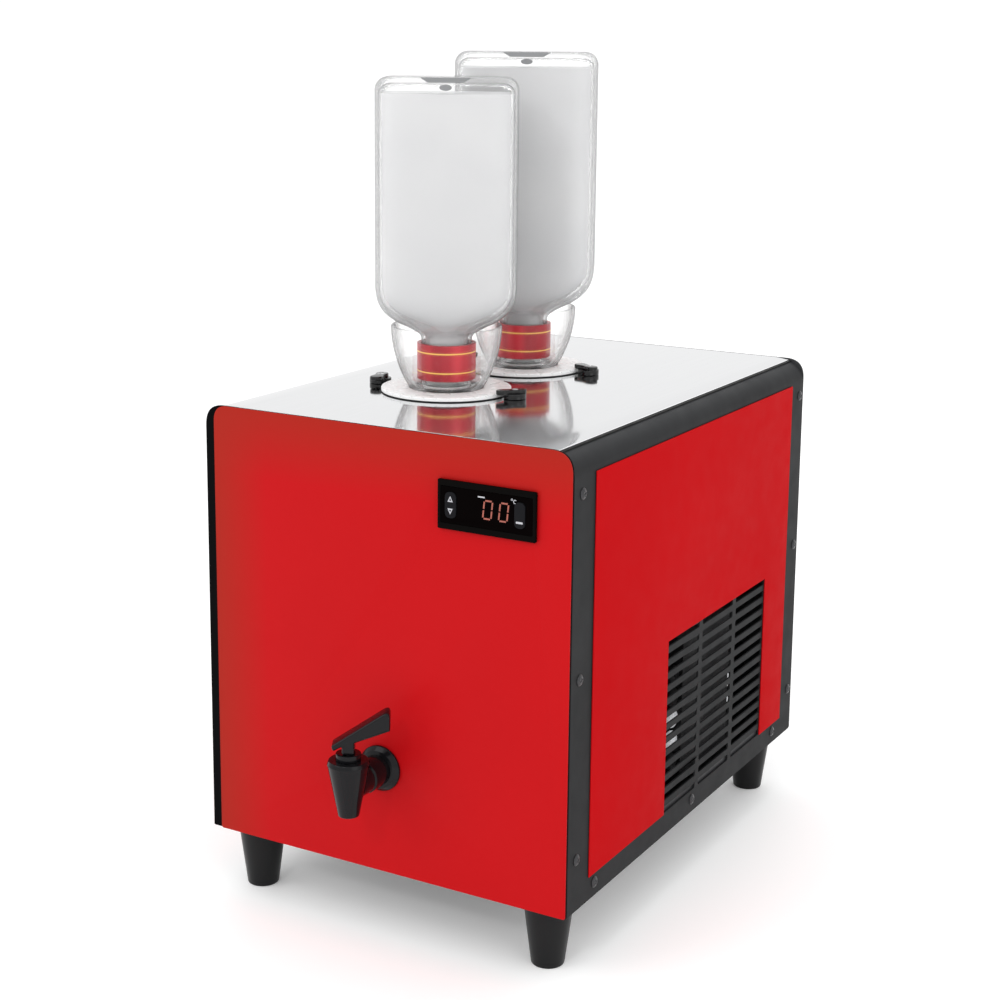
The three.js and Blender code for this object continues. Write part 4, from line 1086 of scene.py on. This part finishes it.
def controller():
    face = 3.3
    bezel = plate("bezel", [
        rectangle(-38.5, -17.5, 38.5, 17.5, 1.2), rectangle(-36, -13, 36, 13, 0.8),
    ], 3.0, 0.9, 3)
    case = block("case", (-35.2, -14.2, -58), (35.2, 14.2, 0.4), 0.4)
    for x in (ROCKER_KEY_X, SET_KEY_X):
        subtract(case, block("key_pocket", (x - 4.75, -9.6, -0.8), (x + 4.75, 9.6, 1), 0.3))
    made = joined("controller_housing", [bezel, case])
    finish(on_panel(made, GAP), "root", "black_plastic", "bezel", "controller_case")
    keys = [key_outline(ROCKER_KEY_X, 4.75, 9.55, 4.7, 8), key_outline(SET_KEY_X, 4.4, 9.4, 4.3, 8)]
    window = plate("window", [rectangle(-35.9, -12.9, 35.9, 12.9, 0.5), *keys], 1.6, 0.12)
    finish(on_panel(window, face - 2.3), "root", "display", "display_window", "controller_window")
    rocker = plate("updown_key", [key_outline(ROCKER_KEY_X, 4.45, 9.25, 4.4, 10)], 2, 0.35, 3)
    finish(on_panel(rocker, face - 1.9), "up_down_key", "key_grey", "key", "rocker_key")
    arrows = plate("key_arrows", [*arrow(ROCKER_KEY_X, 4.2, True), *arrow(ROCKER_KEY_X, -4.2, False)], 0.08, 0.02, 1)
    finish(on_panel(arrows, face + 0.09), "up_down_key", "key_grey", "legend")
    setter = plate("setting_key_cap", [key_outline(SET_KEY_X, 4.1, 9.1, 4.0, 10)], 2, 0.35, 3)
    finish(on_panel(setter, face - 1.9), "setting_key", "key_grey", "key", "set_key")
    bar = plate("setting_key_mark", [rectangle(SET_KEY_X - 2.6, -5.6, SET_KEY_X + 2.6, -4.2, 0.3, 2)], 0.08, 0.02, 1)
    finish(on_panel(bar, face + 0.09), "setting_key", "key_grey", "legend")
    figures = [bar for x in (1.2, 13.6) for bar in segment_digit(x, 0.4, 6.4, 12.6, 1.15, 0.1)]
    digits = plate("figures", figures, 0.08, 0.02, 1)
    finish(on_panel(digits, face - 0.7), "root", "display", "digit")
    degree = [circle(19.9, 10.2, 0.75, 14), circle(19.9, 10.2, 0.4, 12)]
    letter = arc(22.4, 8.9, 1.5, 50, 310, 10) + arc(22.4, 8.9, 0.95, 310, 50, 10)
    lamp = [rectangle(-6.6, 8.3, -1.2, 9.3, 0.2, 2)]
    marks = plate("window_marks", [*degree, letter, *lamp], 0.08, 0.02, 1)
    finish(on_panel(marks, face - 0.7), "root", "display", "legend")


# ---- Back and inside ----
def back_fittings():
    refined("power_inlet", 0.5, "root", "black_plastic", "black_moulding")
    refined("switch_case", 0.4, "root", "black_plastic", "black_moulding")
    refined("switch_rocker", 0.4, "mains_rocker", "key_grey", "key")


def condenser():
    """Aluminium fins drawn near-black as painted shade, and the tube's bends at both ends: two rows glow as a painted
    highlight, the other three are dark as painted shade.
    """
    low, high = (118, 214, 22), (142, 306, 140)
    fins = moved(block("condenser_fins", low, high, 0.4), Matrix.Translation(at(0, 0, 0)))
    finish(fins, "root", "aluminium", "painted_shade_black", "condenser")
    # Rows 1 and 2 of the bends get a painted highlight, the others painted shade.
    for name, material, rows in (("painted_shade", "painted_shade_black", (0, 3, 4)), ("painted_highlight", "painted_highlight_bend", (1, 2))):
        bends = []
        for y in (low[1] - 6, high[1] + 6):
            for i in rows:
                bend = turned("bend", arc(4.5, 0, 3.2, 0, 330, 11), 32)
                turn = Matrix.Rotation(math.radians(90), 4, "Y")
                bends.append(moved(bend, Matrix.Translation(at(136, y, low[2] + 18 * (i + 1))) @ turn))
        finish(joined(f"condenser_{name}_bends", bends), "root", "aluminium", material)


def dress_nodes():
    """Materials for the CAD nodes that stay."""
    kept = {
        "steel_paint": ["base_tray"],
        "screw_steel": ["tap_stem", "tap_pin"],
        "polished_steel": ["reservoir_tank"],
        "tap_gloss": ["tap_shank"],
        "white_moulding": ["tap_nut", "outlet_tube"],
        "foam": ["foam_jacket", "foam_lid"],
        "copper": ["evaporator_coil", "filter_drier"],
        "compressor_paint": ["compressor", "fan_motor"],
        "black_moulding": ["fan_shroud", "fan_blades"],
    }
    for material, nodes in kept.items():
        for node in nodes:
            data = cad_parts[node].data
            data.materials.clear()
            data.materials.append(LOOKS[material])


# ---- Studio ----
def studio():
    size = 60
    steps = 2
    row = steps + 1
    points = [(size * (i / steps - 0.5) * 2, size * (j / steps - 0.5) * 2, 0)
              for j in range(row) for i in range(row)]
    starts = [j * row + i for j in range(steps) for i in range(steps)]
    faces = [(start, start + 1, start + row + 1, start + row) for start in starts]
    floor = mesh_object("floor", points, faces)
    floor_look = painted("floor", (0.95, 0.95, 0.95), 0.004, 0.7, 300, 0.01, 0.2)
    floor_look.set(Emission_Color=(1, 1, 1, 1), Emission_Strength=0.14)
    floor.data.materials.append(floor_look.material)
    world = bpy.data.worlds.new("studio")
    world.use_nodes = True
    bpy.context.scene.world = world
    background = world.node_tree.nodes["Background"]
    background.inputs["Color"].default_value = (1.0, 1.0, 1.0, 1)
    background.inputs["Strength"].default_value = 1.06
    softbox("key", (-1.6, -2.2, 2.4), 1.8, 16)
    softbox("fill", (2.4, -1.0, 1.6), 1.6, 8)
    softbox("back", (0.2, 2.4, 2.2), 2.0, 12)
    softbox("spark", (0.2, -2.0, 1.5), 0.22, 5)
    bpy.context.scene.view_settings.view_transform = "Standard"


def softbox(name, place, size, power):
    data = bpy.data.lights.new(name, "AREA")
    data.shape = "SQUARE"
    data.size = size
    data.energy = power
    lamp = bpy.data.objects.new(name, data)
    bpy.context.scene.collection.objects.link(lamp)
    lamp.location = place
    lamp.rotation_euler = (Vector((0, 0, 0.3)) - Vector(place)).to_track_quat("-Z", "Y").to_euler()


make_camera()
LOOKS = make_materials()
side_panels()
red_skins()
front()
rear()
top()
top_seams()
feet()
side_screws()
tap()
cups()
controller()
back_fittings()
condenser()
dress_nodes()
studio()
